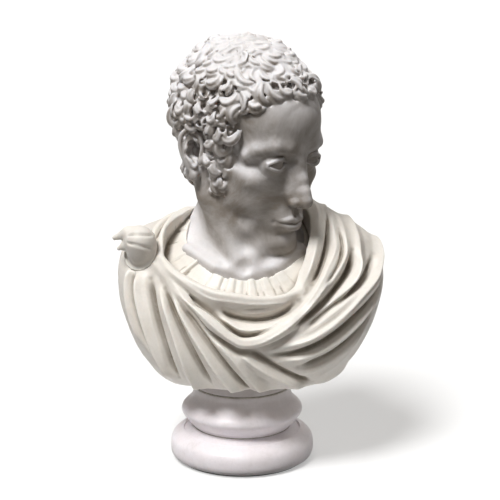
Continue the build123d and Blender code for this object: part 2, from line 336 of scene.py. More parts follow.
def carve_ear(s, side):
    """The shell, its rolled rim and the groove under it, the inner rim, the lobe and the deep hollow."""
    base = np.array((side * 74.0, 16.0, -2.0))
    back = np.array((side * 0.45, 0.89, 0.0))
    up = np.array((0.0, 0.17, 0.985))
    face = np.array((side * 0.89, -0.45, 0.0))

    def at(b, u, o=0.0):
        """A point so far back, up and outwards from the ear's middle."""
        return base + back * b + up * u + face * o

    s.add(rope([at(6, 20, 2), at(13, 8, 2), at(9, -12, 1), at(3, -24, 1)], [11, 10, 8, 6], 4), 5)
    s.cut(egg(at(5, -1, 11), (9, 11, 17)), 2.5)
    s.cut(egg(at(10, 15, 12), (6, 8, 11)), 2.5)
    rim = [at(-5, 1, 7), at(-8, 12, 8), at(-4, 26, 8), at(8, 33, 8), at(20, 27, 9), at(24, 12, 9),
           at(20, -4, 9), at(13, -17, 7), at(6, -25, 6)]
    thickness = np.interp(np.linspace(0, 1, 26), [0, 0.25, 0.5, 0.8, 1], [2.4, 3.0, 3.4, 3.0, 3.4])
    s.add(rope(smooth_line(rim, 26), thickness), 2)
    groove = [at(0, 24, 10), at(8, 28, 10), at(16, 22, 11), at(19, 10, 11), at(16, -3, 11)]
    s.cut(rope(smooth_line(groove, 14), [1.6] * 14), 2)
    inner_rim = [at(8, 22, 6), at(13, 13, 8), at(13, 0, 9), at(7, -13, 8)]
    s.add(rope(smooth_line(inner_rim, 14), np.linspace(2.0, 3.2, 14)), 3)
    s.add(egg(at(5, -29, 5), (5.5, 7, 8)), 4)
    s.add(egg(at(-6, -6, 7), (4, 4.5, 6.5)), 3)
    s.add(egg(at(3, -15, 8), (4, 4, 3.2)), 3)
    s.cut(limb(at(6, 3, 15), at(4, 2, -10), 9.5, 6.5), 2)
    s.cut(limb(at(7, 14, 14), at(6, 12, -7), 7.5, 4.5), 2)


def carve_neck(s):
    """The neck, its muscles and the collar bones, set out in the bust's frame."""
    s.add(limb(to_head((4, 12, 300)), to_head((4, 20, 440)), 61, 58), 18)
    s.add(limb(to_head((4, 30, 320)), to_head((2, 40, 430)), 56, 50), 16)
    for side in SIDES:
        # the muscle from behind the ear to the pit of the neck, the one down the nape, the collar bone
        strap = [(side * 62, 34, -26), to_head((side * 40 + 6, -22, 350)), to_head((side * 10 + 4, -54, 296))]
        s.add(rope(strap, [9, 11, 8], 6), 18)
        nape = [(side * 24, 54, -34), to_head((side * 36 + 4, 48, 362)), to_head((side * 60, 40, 334))]
        s.add(rope(nape, [18, 20, 16], 10), 22)
        collar_bone = [(side * 8 + 4, -62, 280), (side * 40 + 4, -56, 288), (side * 78 + 4, -22, 306)]
        s.add(rope([to_head(point) for point in collar_bone], [2.5, 3.5, 4.5], 5), 16)
    s.add(egg(to_head((14, -50, 346)), (9, 9, 12)), 12)
    s.cut(egg(to_head((4, -68, 290)), (7, 7, 9)), 14)


PLUG_CENTRE = to_head(NECK_JOINT)
PLUG_AXIS = NECK_AXIS @ TURN
# The skin's height over the joint: at the plug's edge, and how much more in its middle
SKIN_EDGE = -1.5
SKIN_DOME = 15.0
DOWEL_HOLE = 9.0
DOWEL_REACH = 46.0


def plug_side(r, h):
    """The distance to the plug's tapered side."""
    return (r - PLUG_RADIUS - np.minimum(h, 0) * PLUG_SLOPE) * 0.93


def carve_chest(s):
    """The skin inside the neckline, on the tapered plug that is let into the bust."""

    def shape(x, y, z):
        r, h = about_axis(x, y, z, PLUG_CENTRE, PLUG_AXIS)
        top = (h - SKIN_EDGE - SKIN_DOME * np.clip(1 - (r / PLUG_RADIUS) ** 2, 0, 1)) * 0.9
        return np.maximum(np.maximum(plug_side(r, h), top), -PLUG_DEPTH - h)

    reach = np.array((96, 96, 96))
    s.add((shape, PLUG_CENTRE - reach, PLUG_CENTRE + reach), 22)
    # nothing below the neckline reaches outside the plug
    part, (x, y, z) = s.window(PLUG_CENTRE - 150, PLUG_CENTRE + 150)
    r, h = about_axis(x, y, z, PLUG_CENTRE, PLUG_AXIS)
    room = np.clip(h, 0, 200) * 0.3 + np.clip(h - 55, 0, 200) * 3
    limit = np.maximum(plug_side(r, h) - room, -PLUG_DEPTH - h)
    s.field[part] = np.maximum(s.field[part], limit.astype(np.float32))
    dowel = PLUG_CENTRE - PLUG_AXIS * (PLUG_DEPTH + 1)
    s.cut(bore(dowel, dowel + PLUG_AXIS * DOWEL_REACH, DOWEL_HOLE), 0)


# ---------------------------------------------------------------- hair

SCALP_CENTRE = np.array((0.0, 15.0, 56.0))
SCALP_SIZE = np.array((88.0, 110.0, 99.0))
CROWN = np.array((8.0, 52.0, 150.0))
# The hair's edge: (angle from the face, height)
HAIRLINE = np.array([
    (0, 106), (22, 106), (38, 100), (50, 86), (59, 60), (64, 24), (67, -36), (72, -52), (80, -50), (86, -28),
    (89, 28), (96, 37), (110, 36), (118, 14), (128, -34), (142, -62), (160, -72), (180, -75),
], float)


def hairline(x, y):
    """The height of the hair's edge in a direction."""
    return np.interp(np.degrees(np.arctan2(np.abs(x), -y)), HAIRLINE[:, 0], HAIRLINE[:, 1])


def hair_mass(s):
    """The even layer of hair under the locks."""
    whole, low, high = egg(SCALP_CENTRE, SCALP_SIZE)

    def shape(x, y, z):
        edge = (hairline(x, y) + 2 - z) * 0.6
        thin = np.clip((30 - z) / 90, 0, 1) * 5
        return np.maximum(whole(x, y, z) + thin, edge)

    s.add((shape, low, high), 4)
    for side in SIDES:
        sideburn = [(side * 69, -16, 22), (side * 67, -20, -6), (side * 61, -24, -34), (side * 55, -29, -47)]
        s.add(rope(sideburn, [8, 8, 8, 6], 4), 5)
        s.add(rope([(side * 50, 42, -22), (side * 34, 58, -42), (0, 66, -54)], [15, 14, 13], 8), 16)


LOCK_POINTS = 11
# The two outer strands, then the middle one over them
STRANDS = (-1, 1, 0)


def lock(s, root, outward, heading, size, sense, rise=1.0, hook=0.7, plump=1.0, moat=1.0):
    """A comma of hair in three strands: it leaves the scalp, swells, and hooks round to a point."""
    outward = unit(outward)
    heading = unit(heading - outward * (heading @ outward))
    aside = np.cross(outward, heading) * sense
    t = np.linspace(0, 1, LOCK_POINTS)
    angle = -0.55 + hook * 2 * np.pi * t**1.5
    stride = size * 1.5 / LOCK_POINTS * (1.2 - 0.5 * t)
    ahead = np.cumsum(stride * np.cos(angle)) - size * 0.55
    across = np.cumsum(stride * np.sin(angle)) - size * 0.10
    height = size * rise * (0.22 * np.sin(np.pi * (0.04 + 0.90 * t)) - 0.01)
    path = root + heading * ahead[:, None] + aside * across[:, None] + outward * height[:, None]
    flat = -heading * np.sin(angle)[:, None] + aside * np.cos(angle)[:, None]
    width = size * plump * 0.20 * np.sin(np.pi * (0.14 + 0.84 * t)) ** 0.8
    s.cut(rope(path + outward * 0.6, width + moat), 2)
    for k in STRANDS:
        lift = 0.30 * width if k == 0 else -0.16 * width
        strand = path + flat * (0.86 * k * width)[:, None] + outward * lift[:, None]
        s.add(rope(strand, 0.47 * width + 0.4), 1.6)


# Rays from the head's middle that look for the hair's surface, and the cells over which its slope is taken
SCALP_RAYS = 5000
SLOPE_SPAN = 3


def scalp_places(s, rng, spacing):
    """Places spread evenly over the even layer of hair, with the direction out of it."""
    i = np.arange(SCALP_RAYS) + 0.5
    rise = 1 - 2 * i / SCALP_RAYS
    turn = np.pi * (1 + 5**0.5) * i
    level = np.sqrt(1 - np.clip(rise, 0, 1) ** 2)
    ray = np.stack([np.cos(turn) * level, np.sin(turn) * level, np.clip(rise, 0, 1)], 1)
    start = np.stack([0 * rise, 20 + 0 * rise, 40 + 125 * np.clip(rise, -1, 0)], 1)
    reach = np.arange(132.0, 20.0, -0.5)
    points = start[:, None] + ray[:, None] * reach[None, :, None]
    cell = np.clip(np.round((points - s.low) / s.step).astype(int), 0, np.array(s.field.shape) - 1)
    inside = s.field[cell[..., 0], cell[..., 1], cell[..., 2]] < 0
    places = points[np.arange(SCALP_RAYS), inside.argmax(1)]
    places = places[places[:, 2] > hairline(places[:, 0], places[:, 1]) + 5]
    kept = np.full((1, 3), 1e6)
    for place in places[rng.permutation(len(places))]:
        if ((kept - place) ** 2).sum(1).min() > spacing**2:
            kept = np.vstack([kept, place])
    kept = kept[1:]
    cell = np.round((kept - s.low) / s.step).astype(int)
    normals = []
    for axis in range(3):
        step = np.eye(3, dtype=int)[axis] * SLOPE_SPAN
        normals.append(s.field[tuple((cell + step).T)] - s.field[tuple((cell - step).T)])
    normals = np.stack(normals, 1)
    return kept, normals / np.linalg.norm(normals, axis=1)[:, None]


HAIR_SEED = 11
FRINGE_SEED = 5
LOCK_SPACING = 12.8
GAP_SPACING = 9.0
GAPS = 90


def carve_hair(s):
    """Locks that part from the crown, each laid over the ones below it."""
    rng = np.random.default_rng(HAIR_SEED)
    hair_mass(s)
    places, normals = scalp_places(s, rng, LOCK_SPACING)
    for k in np.argsort(places[:, 2]):
        p, n = places[k], normals[k]
        away = p - CROWN
        away = unit(away - n * (away @ n))
        side = np.cross(n, away)
        swing = rng.uniform(-1.3, 1.3)
        heading = away * np.cos(swing) + side * np.sin(swing)
        top = ease(p[2], 95, 150)
        low = ease(-p[2], -20, 70)
        size = rng.uniform(22, 34) * (1 - 0.22 * low)
        sense = 1 if rng.random() < 0.5 else -1
        rise = rng.uniform(0.7, 1.35) * (1 - 0.62 * top)
        hook = rng.uniform(0.35, 0.8)
        plump = rng.uniform(0.85, 1.25)
        lock(s, p - n * (1.5 + 2.5 * low), n, heading, size, sense, rise, hook, plump, moat=0.3)
    drill_gaps(s, rng)


def drill_gaps(s, rng):
    """Short dark channels, drilled where the hair is lowest, with fewer on the crown and the back."""
    places, normals = scalp_places(s, rng, GAP_SPACING)
    depth = egg(SCALP_CENTRE, SCALP_SIZE)[0](*places.T)
    depth = depth + 10 * ease(places[:, 2], 95, 130) + 9 * ease(places[:, 1], 15, 80)
    for k in np.argsort(depth)[:GAPS]:
        p, n = places[k], normals[k]
        turn = rng.uniform(0, np.pi)
        first = unit(np.cross(n, (0, 0.3, 1)))
        along = first * np.cos(turn) + np.cross(n, first) * np.sin(turn)
        half = along * rng.uniform(2.5, 6.5)
        radius = rng.uniform(1.7, 2.8)
        channel = [p - half + n * 2.5, p - n * 2.5, p + half + n * 2.5]
        s.cut(rope(channel, [radius * 0.7, radius, radius * 0.7], 5), 1.5)
        s.cut(limb(p, p - n * 5, radius, radius * 0.8), 1)


FRINGE_ANGLES = (-57, -47, -37, -28, -19, -10, -1, 8, 17, 26, 35, 45, 55)
# (height, depth, size) of the curls down the sideburn
SIDEBURN = (
    (26, -28, 21), (14, -12, 18), (10, -30, 19), (-2, -17, 18),
    (-10, -31, 18), (-18, -19, 19), (-26, -31, 21), (-34, -23, 21),
)


def carve_fringe(s):
    """Plump locks along the brow and the temples with gaps behind them, and curls down the sideburns."""
    rng = np.random.default_rng(FRINGE_SEED)
    gaps = []
    for angle in FRINGE_ANGLES:
        a = radians(angle)
        z = float(np.interp(abs(angle), HAIRLINE[:, 0], HAIRLINE[:, 1])) + rng.uniform(3, 9)
        # the scalp's radius at this height
        k = np.sqrt(max(1 - ((z - 56) / 98) ** 2, 0.05))
        p = np.array((np.sin(a) * 82 * k, 14 - np.cos(a) * 110 * k, z))
        out = np.array((np.sin(a), -np.cos(a), 0.25))
        beside = np.array((np.cos(a), np.sin(a), 0))
        # a drilled gap behind the lock
        gap = p + beside * rng.uniform(7, 11) + np.array((0, 0, rng.uniform(2, 12)))
        gaps.append((gap, unit(out), beside, rng.uniform(-0.7, 0.7)))
        heading = beside * rng.uniform(-0.9, 0.9) - np.array((0, 0, 1.0))
        sense = 1 if rng.random() < 0.5 else -1
        lock(s, p, out, heading, rng.uniform(25, 31), sense, 1.2, rng.uniform(0.4, 0.7), 1.25, moat=0.6)
    # long drilled gaps over the fringe and the temples
    for gap, out, beside, lean in gaps:
        lift = np.array((0, 0, lean))
        ends = [gap - (beside + lift) * 6 + out * 1.5, gap + out, gap + (beside + lift) * 6 + out * 1.5]
        s.cut(rope(ends, [1.6, 3.0, 1.6], 6), 2)
        s.cut(limb(gap, gap - out * 5, 3.0, 2.2), 2)
    for side in SIDES:
        for z, y, size in SIDEBURN:
            p = np.array((side * (73 - 0.17 * max(0, 10 - z)), y, z))
            heading = np.array((0, rng.uniform(-0.7, 0.7), -1.0))
            sense = side * (1 if rng.random() < 0.5 else -1)
            lock(s, p, np.array((side, -0.35, 0)), heading, size, sense, 0.5, 0.45, 1.25, moat=-1.6)


def carve_head(step):
    s = Stone((-112, -142, -226), (112, 142, 172), step)
    carve_skull(s)
    carve_brow(s)
    carve_neck(s)
    carve_chest(s)
    for side in SIDES:
        carve_eye(s, side)
    carve_nose(s)
    carve_mouth(s)
    carve_hair(s)
    carve_fringe(s)
    for side in SIDES:
        carve_ear(s, side)
    return s


# ---------------------------------------------------------------- drapery

# The plain shoulders under the folds: (height, left, right, front, back)
SHOULDERS = np.array([
    (98, -66, 70, -60, 62),
    (105.5, -74, 78, -68, 70),
    (118, -104, 121, -88, 84),
    (150, -136, 154, -112, 97),
    (182, -154, 174, -120, 104),
    (206, -163, 185, -118, 106),
    (228, -170, 192, -112, 108),
    (250, -173, 197, -102, 107),
    (278, -173, 197, -82, 104),
    (300, -166, 191, -66, 99),
    (322, -146, 174, -54, 92),
    (338, -114, 150, -44, 84),
    (350, -82, 126, -32, 78),
    (358, -52, 108, -14, 68),
    (366, -20, 80, 4, 56),
], float)
BUST_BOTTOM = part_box("draped_bust")[0].z / MM
# The power of the shoulders' level sections: 2 would be an ellipse
SQUARENESS = 2.15


def spline_rows(rows, z):
    """Rows of values eased through their heights."""
    h = rows[:, 0]
    m = np.gradient(rows[:, 1:], h, axis=0)
    i = np.clip(np.searchsorted(h, z) - 1, 0, len(h) - 2)
    d = h[i + 1] - h[i]
    t = np.clip((z - h[i]) / d, -0.3, 1.3)[:, None]
    d = d[:, None]
    a, b, ma, mb = rows[i, 1:], rows[i + 1, 1:], m[i] * d, m[i + 1] * d
    rise, fall = 3 * t**2 - 2 * t**3, 2 * t**3 - 3 * t**2 + 1
    return fall * a + (t**3 - 2 * t**2 + t) * ma + rise * b + (t**3 - t**2) * mb


def torso(x, y, z):
    """Roughly the distance to the plain shoulders."""
    heights = np.atleast_1d(z).ravel().astype(float)
    left, right, front, back = spline_rows(SHOULDERS, heights).T
    shape = np.shape(z)
    cx, rx = ((left + right) / 2).reshape(shape), ((right - left) / 2).reshape(shape)
    cy, ry = ((front + back) / 2).reshape(shape), ((back - front) / 2).reshape(shape)
    rx, ry = np.maximum(rx, 4), np.maximum(ry, 4)
    u, v = np.abs(x - cx) / rx, np.abs(y - cy) / ry
    return ((u**SQUARENESS + v**SQUARENESS) ** (1 / SQUARENESS) - 1) * np.minimum(rx, ry) * 0.9


def slope(points):
    """The gradient of the torso's distance at points."""
    g = np.zeros_like(points)
    for i in range(3):
        a, b = points.copy(), points.copy()
        a[:, i] += 1
        b[:, i] -= 1
        g[:, i] = (torso(*a.T) - torso(*b.T)) / 2
    return g


def outward(points):
    """The direction out of the plain shoulders at points."""
    g = slope(points)
    return g / np.linalg.norm(g, axis=1)[:, None]


# Depths, from in front of the chest, at which a point's start on the front face is looked for
FRONT_SEARCH = np.linspace(-135, 0, 271)
SNAP_ROUNDS = 8


def snap(points):
    """Moves points onto the plain shoulders; a point (x, z) starts from the front face."""
    p = np.zeros((len(points), 3))
    for i, q in enumerate(points):
        if len(q) == 3:
            p[i] = q
            continue
        y = FRONT_SEARCH
        inside = np.nonzero(torso(np.full_like(y, q[0]), y, np.full_like(y, q[1])) < 0)[0]
        p[i] = (q[0], y[inside[0]] if len(inside) else 0.0, q[1])
    for _ in range(SNAP_ROUNDS):
        g = slope(p)
        p -= (torso(*p.T) / (g**2).sum(1))[:, None] * g * 0.8
    return p


# A fold is a line of points, its height, and its half widths on its two sides.
# Going to the right on the chest, the first side is above the line and the second below it.
FOLDS = [
    # the cloak's upper edge, from the clasp across the chest
    ([(-115, 297), (-96, 282), (-75, 268), (-46, 253), (-20, 249), (15, 246), (48, 247), (80, 256)],
     13, 9, 11),
    # the deep swag from the clasp to the lowest point and up to the left shoulder
    ([(-119, 290), (-88, 260), (-57, 237), (-28, 214), (-11, 203), (4, 198), (30, 203), (66, 223),
      (94, 247), (117, 272), (136, 296), (139, -33, 318), (132, 0, 338), (118, 40, 348)], 19, 10, 9),
    # lesser swags between the two
    ([(-40, 240), (-16, 223), (5, 216), (35, 220), (68, 240)], 10, 6, 8),
    ([(-102, 276), (-80, 259), (-52, 241), (-24, 222), (-6, 209), (10, 206), (32, 211)], -15, 6, 5),
    ([(-32, 241), (-8, 233), (20, 230), (48, 235), (74, 250)], -15, 6, 6),
    # folds that come over the left shoulder from behind
    ([(84, 84, 346), (92, 50, 354), (96, 20, 354), (103, -16, 344), (99, 315), (90, 286), (76, 258)],
     16, 11, 9),
    ([(112, 70, 342), (112, 20, 348), (122, -18, 338), (126, 311), (112, 283), (92, 254), (70, 236)],
     13, 7, 8),
    ([(113, 8, 346), (116, 320), (108, 295), (94, 268)], -14, 4, 4),
    ([(131, -20, 330), (136, 308), (126, 285), (106, 260)], -14, 4, 4),
    ([(128, 92, 250), (140, 88, 300), (146, 60, 330), (148, 20, 336), (158, 308), (156, 276),
      (126, 243), (90, 222), (60, 209), (24, 194)], 14, 9, 10),
    ([(150, 306), (143, 282), (118, 256), (92, 236), (62, 217)], -15, 5, 5),
    ([(160, 70, 250), (172, 56, 296), (180, 16, 302), (182, 272), (154, 246), (114, 217), (74, 199),
      (36, 190)], 13, 9, 10),
    ([(182, 296), (170, 276), (140, 253), (104, 230), (74, 213)], -13, 5, 5),
    ([(192, 276), (176, 254), (140, 228), (98, 206), (60, 194)], 9, 7, 8),
    # folds that run from the left arm down to the swag's lowest point, flatter towards the lower edge
    ([(194, 262), (180, 248), (150, 222), (110, 196), (66, 183), (30, 184)], -8, 6, 6),
    ([(190, 250), (170, 226), (134, 198), (92, 180), (50, 174)], 8, 9, 9),
    ([(182, 232), (154, 203), (116, 176), (76, 163)], -6, 6, 6),
    ([(174, 216), (142, 182), (104, 160), (64, 150)], 6, 10, 10),
    ([(160, 196), (128, 160), (92, 140)], 4, 12, 10),
    # the fold that crosses from the swag's lowest point to the lower edge
    ([(-6, 192), (12, 175), (40, 156), (62, 142), (88, 124)], 11, 7, 12),
    ([(6, 193), (28, 176), (52, 158), (74, 145), (96, 134)], -10, 6, 4),
    # folds that hang from the clasp
    ([(-150, 286), (-156, 258), (-150, 222), (-132, 178)], 9, 10, 10),
    ([(-147, -38, 280), (-148, 250), (-138, 212), (-118, 166)], -10, 5, 5),
    ([(-138, 285), (-140, 254), (-128, 212), (-106, 160), (-92, 132)], 12, 12, 11),
    ([(-124, 272), (-117, 232), (-104, 186), (-86, 140)], -15, 5, 5),
    ([(-113, 270), (-96, 224), (-80, 180), (-62, 134), (-56, 118)], 12, 10, 9),
    ([(-102, 262), (-84, 222), (-64, 178), (-38, 130)], -12, 5, 5),
    ([(-98, 264), (-74, 223), (-46, 180), (-14, 134), (0, 116)], 13, 9, 8),
    ([(-84, 250), (-58, 216), (-30, 178), (-2, 140), (14, 120)], -12, 5, 5),
    ([(-66, 240), (-36, 207), (-6, 170), (22, 134), (34, 118)], 10, 9, 9),
    # folds between the clasp and the neck
    ([(-124, -20, 318), (-112, 10, 330), (-92, 44, 342), (-74, 66, 348)], 6, 6, 6),
    ([(-112, -34, 314), (-101, -6, 332), (-84, 30, 346), (-70, 52, 352)], 10, 6, 6),
    ([(-118, -26, 318), (-106, 2, 333), (-88, 36, 346)], -11, 4, 4),
    ([(-146, 4, 312), (-136, 30, 320), (-112, 58, 332), (-86, 76, 342)], 5, 7, 7),
    # folds down the back from both shoulders, and the swags that hang between them
    ([(112, 92, 300), (108, 104, 258), (96, 106, 222)], 10, 11, 11),
    ([(150, 80, 300), (148, 88, 262), (140, 86, 220)], -10, 6, 6),
    ([(122, 92, 290), (116, 100, 254), (106, 102, 222)], -9, 5, 5),
    ([(-140, 46, 314), (-153, 58, 276), (-154, 56, 228), (-140, 50, 182)], 11, 10, 10),
    ([(-112, 70, 330), (-122, 88, 290), (-122, 90, 240), (-114, 88, 200)], 11, 10, 10),
    ([(-126, 60, 324), (-138, 76, 282), (-138, 74, 232), (-130, 66, 190)], -11, 5, 5),
    ([(-88, 84, 330), (-90, 98, 284), (-84, 102, 236)], 9, 9, 9),
    ([(-100, 80, 326), (-107, 94, 284), (-104, 97, 236)], -9, 5, 5),
    ([(88, 86, 346), (42, 98, 328), (0, 102, 318), (-44, 97, 326), (-86, 84, 338)], 13, 8, 10),
    ([(116, 86, 326), (54, 104, 298), (0, 108, 284), (-46, 105, 296), (-92, 92, 322)], 13, 10, 11),
    ([(100, 88, 336), (46, 102, 312), (0, 106, 300), (-46, 102, 310), (-90, 88, 330)], -15, 5, 5),
    ([(126, 88, 296), (66, 105, 262), (8, 108, 246), (-40, 106, 262), (-76, 98, 300)], 10, 11, 12),
    ([(118, 90, 308), (58, 105, 276), (2, 108, 262), (-44, 106, 276), (-84, 96, 308)], -11, 6, 6),
]
# The heights between which the folds grow out of the lower edge
FOLD_FADE = (106.0, 126.0)
# The heights between which they lie down flatter, and by how much, on top of the shoulders
SHOULDER_TOP = (286.0, 334.0)
SHOULDER_FADE = 0.66

# Rolls of cloth that stand clear of the shoulders: a line, its radius in the middle and at the ends
ROLLS = [
    ([(-112, 300), (-92, 283), (-66, 268), (-38, 258), (-10, 254), (20, 251), (50, 253), (78, 262)],
     6.5, 3.0),
    ([(-113, 288), (-84, 262), (-56, 240), (-29, 218), (-12, 206), (4, 201), (32, 207), (64, 226), (92, 250),
      (112, 274), (128, 298)], 6.5, 4.0),
]
# Undercuts beneath the rolls, written the same way
UNDERCUTS = [
    ([(-100, 264), (-74, 241), (-44, 214), (-22, 199), (2, 188), (34, 194), (70, 213), (100, 238)], 5.0, 1.5),
    ([(-92, 272), (-66, 251), (-42, 239), (-22, 234), (6, 238), (36, 240), (62, 246)], 4.5, 1.5),
]


# How far a fold spreads, in half widths
FOLD_REACH = 1.7


def crest(side, first, second, sharp):
    """A crest with its own width on each side: a narrow ridge, or the round floor of a valley."""
    u = np.where(side < 0, -side / first, side / second)
    shape = np.exp(-1.5 * (u * u + 0.012) ** 0.68) if sharp else np.exp(-(u**2) * 1.2)
    return np.where(u < FOLD_REACH, shape * np.clip((FOLD_REACH - u) / 0.7, 0, 1), 0)


def raise_fold(rise, stone, points, height, first, second):
    """Adds one fold's height to the grid of heights."""
    line = snap(points)
    count = max(6, int(np.linalg.norm(np.diff(line, axis=0), axis=1).sum() / 8))
    line = snap(smooth_line(line, count))
    normal = outward(line)
    reach = FOLD_REACH * max(first, second) + 2
    depth = 22 + reach * 0.3
    whole, _ = stone.window(line.min(0) - depth - reach, line.max(0) + depth + reach)
    start = np.array([part.start for part in whole])
    size = rise[whole].shape
    best = np.full(size, 1e9, np.float32)
    side = np.zeros(size, np.float32)
    along = np.zeros(size, np.float32)
    for i in range(count - 1):
        a, b = line[i], line[i + 1]
        n = unit(normal[i] + normal[i + 1])
        d = b - a
        across = unit(np.cross(d, n))
        spread = np.abs(n) * depth + np.sqrt(np.maximum(1 - n**2, 0)) * reach
        part, (x, y, z) = stone.window(np.minimum(a, b) - spread, np.maximum(a, b) + spread)
        inner = tuple(slice(p.start - o, p.stop - o) for p, o in zip(part, start))
        x, y, z = x - a[0], y - a[1], z - a[2]
        t = np.clip((x * d[0] + y * d[1] + z * d[2]) / (d @ d), 0, 1).astype(np.float32)
        x, y, z = x - t * d[0], y - t * d[1], z - t * d[2]
        up = x * n[0] + y * n[1] + z * n[2]
        flat = np.sqrt(np.maximum(x * x + y * y + z * z - up * up, 0)) + np.abs(up) * 0.1
        s = x * across[0] + y * across[1] + z * across[2]
        closer = flat < best[inner]
        best[inner][closer] = flat[closer]
        side[inner][closer] = np.copysign(flat, s)[closer]
        along[inner][closer] = ((i + t) / (count - 1))[closer]
    taper = ease(np.minimum(along, 1 - along), 0, 0.2)
    shape = crest(side, first, second, height > 0)
    rise[whole] += height * shape * (0.15 + 0.85 * taper) * (best < reach + 5)


ROLL_POINTS = 30


def roll_line(points, middle, ends, lift, end_lift):
    """A roll's line above the plain shoulders, and its radius along it."""
    line = snap(points)
    line = snap(smooth_line(line, ROLL_POINTS))
    normal = outward(line)
    t = np.linspace(0, 1, ROLL_POINTS)
    radius = ends + (middle - ends) * np.sin(np.pi * t) ** 0.7
    height = end_lift + (lift - end_lift) * np.sin(np.pi * t) ** 0.5
    return line + normal * height[:, None], radius


# How far out from the neckline's axis the cloak's inner edge lies: (angle from the front, radius)
CLOAK_EDGE = np.array([
    (-180, 89), (-135, 89), (-112, 93), (-92, 108), (-72, 116), (-43, 107), (-25, 106), (-10, 107),
    (8, 110), (24, 114), (37, 110), (47, 99), (66, 91), (90, 89), (180, 89),
], float)
# The tunic's height over the joint at the plug's edge, and its fall outwards from there
TUNIC_RISE = 4.6
TUNIC_FALL = 0.42
# Pleats of the tunic's hem: (angle from the front, step up or down going to the right)
PLEATS = (
    (-120, 1.2), (-104, -1.6), (-90, 1.6), (-72, -1.0), (-60, 1.8), (-55, -2.6), (-34, 1.0), (-22, -1.6),
    (-17, 2.0), (-9, -1.4), (-2, -1.0), (2, 2.2), (10, -1.6), (16, 1.4), (24, -1.6), (31, 1.8), (42, -1.2),
)
PLEAT_EDGE = 0.9

POST_RADIUS = 68.0
LIP_RISE = 19.0
HOLLOW_CENTRE = np.array((12.0, 44.0, 166.0))
HOLLOW_SIZE = np.array((106.0, 118.0, 60.0))
PILLAR_CENTRE = (4.0, 24.0)
# (height, half width, half depth) of the pillar that is left in the hollow
PILLAR = np.array([(90, 66, 64), (120, 44, 46), (150, 34, 37), (190, 38, 40), (245, 56, 54)], float)
ANCHOR_RADIUS = 11.0
ANCHOR_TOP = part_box("rod_anchor")[1].z / MM

CLASP_SEAT = np.array((-139.0, -33.0, 301.0))
CLASP_AXIS = unit(np.array((-0.42, -0.83, 0.36)))
CLASP_SEAT_RADIUS = 24.0
PIN_HOLE = 4.5
KNOB_CENTRE = CLASP_SEAT + CLASP_AXIS * 12 + np.array((6.0, 0.0, 15.0))
KNOB_SIZE = np.array((20.5, 19.5, 20.0))


# The hem's thin edge, which lies over the joint and hides it: (angle from the front, its inner radius)
HEM_EDGE = np.array([
    (-180, 86), (-120, 85), (-90, 80), (-50, 76), (0, 75), (45, 77), (90, 82), (130, 86), (180, 86),
], float)

def carve_hem(s, angle, r, h, tunic):
    """The hem's edge over the skin, worked after the socket is cut."""
    skin_top = SKIN_EDGE + SKIN_DOME * np.clip(1 - (r / PLUG_RADIUS) ** 2, 0, 1)
    inner = np.interp(angle, HEM_EDGE[:, 0], HEM_EDGE[:, 1]).astype(np.float32)
    lip = np.maximum(np.maximum(tunic * 0.9, skin_top + 0.4 - h), np.maximum(inner - r, r - PLUG_RADIUS - 6))
    s.field = soft_min(s.field, lip.astype(np.float32), 1.2)


def carve_neckline(s):
    """The cloak's inner edge, the tunic's hem inside it, and the socket for the head."""
    x, y, z = s.grid()
    r, h = about_axis(x, y, z, NECK_JOINT, NECK_AXIS)
    forward = -((y - NECK_JOINT[1]) * np.cos(NECK_TILT) + (z - NECK_JOINT[2]) * np.sin(NECK_TILT))
    angle = np.degrees(np.arctan2(x - NECK_JOINT[0] + 0 * h, forward)).astype(np.float32)
    edge = np.interp(angle, CLOAK_EDGE[:, 0], CLOAK_EDGE[:, 1]).astype(np.float32)
    relief = 0 * angle
    for at, rise in PLEATS:
        relief = relief + rise * ease(angle, at - PLEAT_EDGE, at + PLEAT_EDGE)
        # the shadow line beside the step
        relief = relief - 0.5 * abs(rise) * np.exp(-(((angle - at) / PLEAT_EDGE) ** 2))
    relief = 1.5 * relief * np.clip(1.2 - (r - PLUG_RADIUS) / 60, 0, 1)
    tunic = h + (r - PLUG_RADIUS) * TUNIC_FALL - TUNIC_RISE - relief
    s.field = -soft_min(-s.field, np.maximum(r - edge, -tunic * 0.9), 3.0)
    socket = np.maximum((r - PLUG_RADIUS - BED - np.minimum(h, 0) * PLUG_SLOPE) * 0.93, -h - PLUG_DEPTH - BED)
    s.field = np.maximum(s.field, -socket.astype(np.float32))
    carve_hem(s, angle, r, h, tunic)


def carve_underside(s):
    """The rim of the shoulders, which rises in front of the post that stands on the socle."""
    x, y, z = s.grid()
    reach = np.sqrt(x**2 + y**2)
    rim = BUST_BOTTOM + LIP_RISE * ease(-y, 10, 75) + (reach - POST_RADIUS) * 0.04
    air = np.minimum(rim - z, reach - POST_RADIUS)
    s.field = -soft_min(-s.field, -air, 2.5)
    s.field = np.maximum(s.field, BUST_BOTTOM - z)


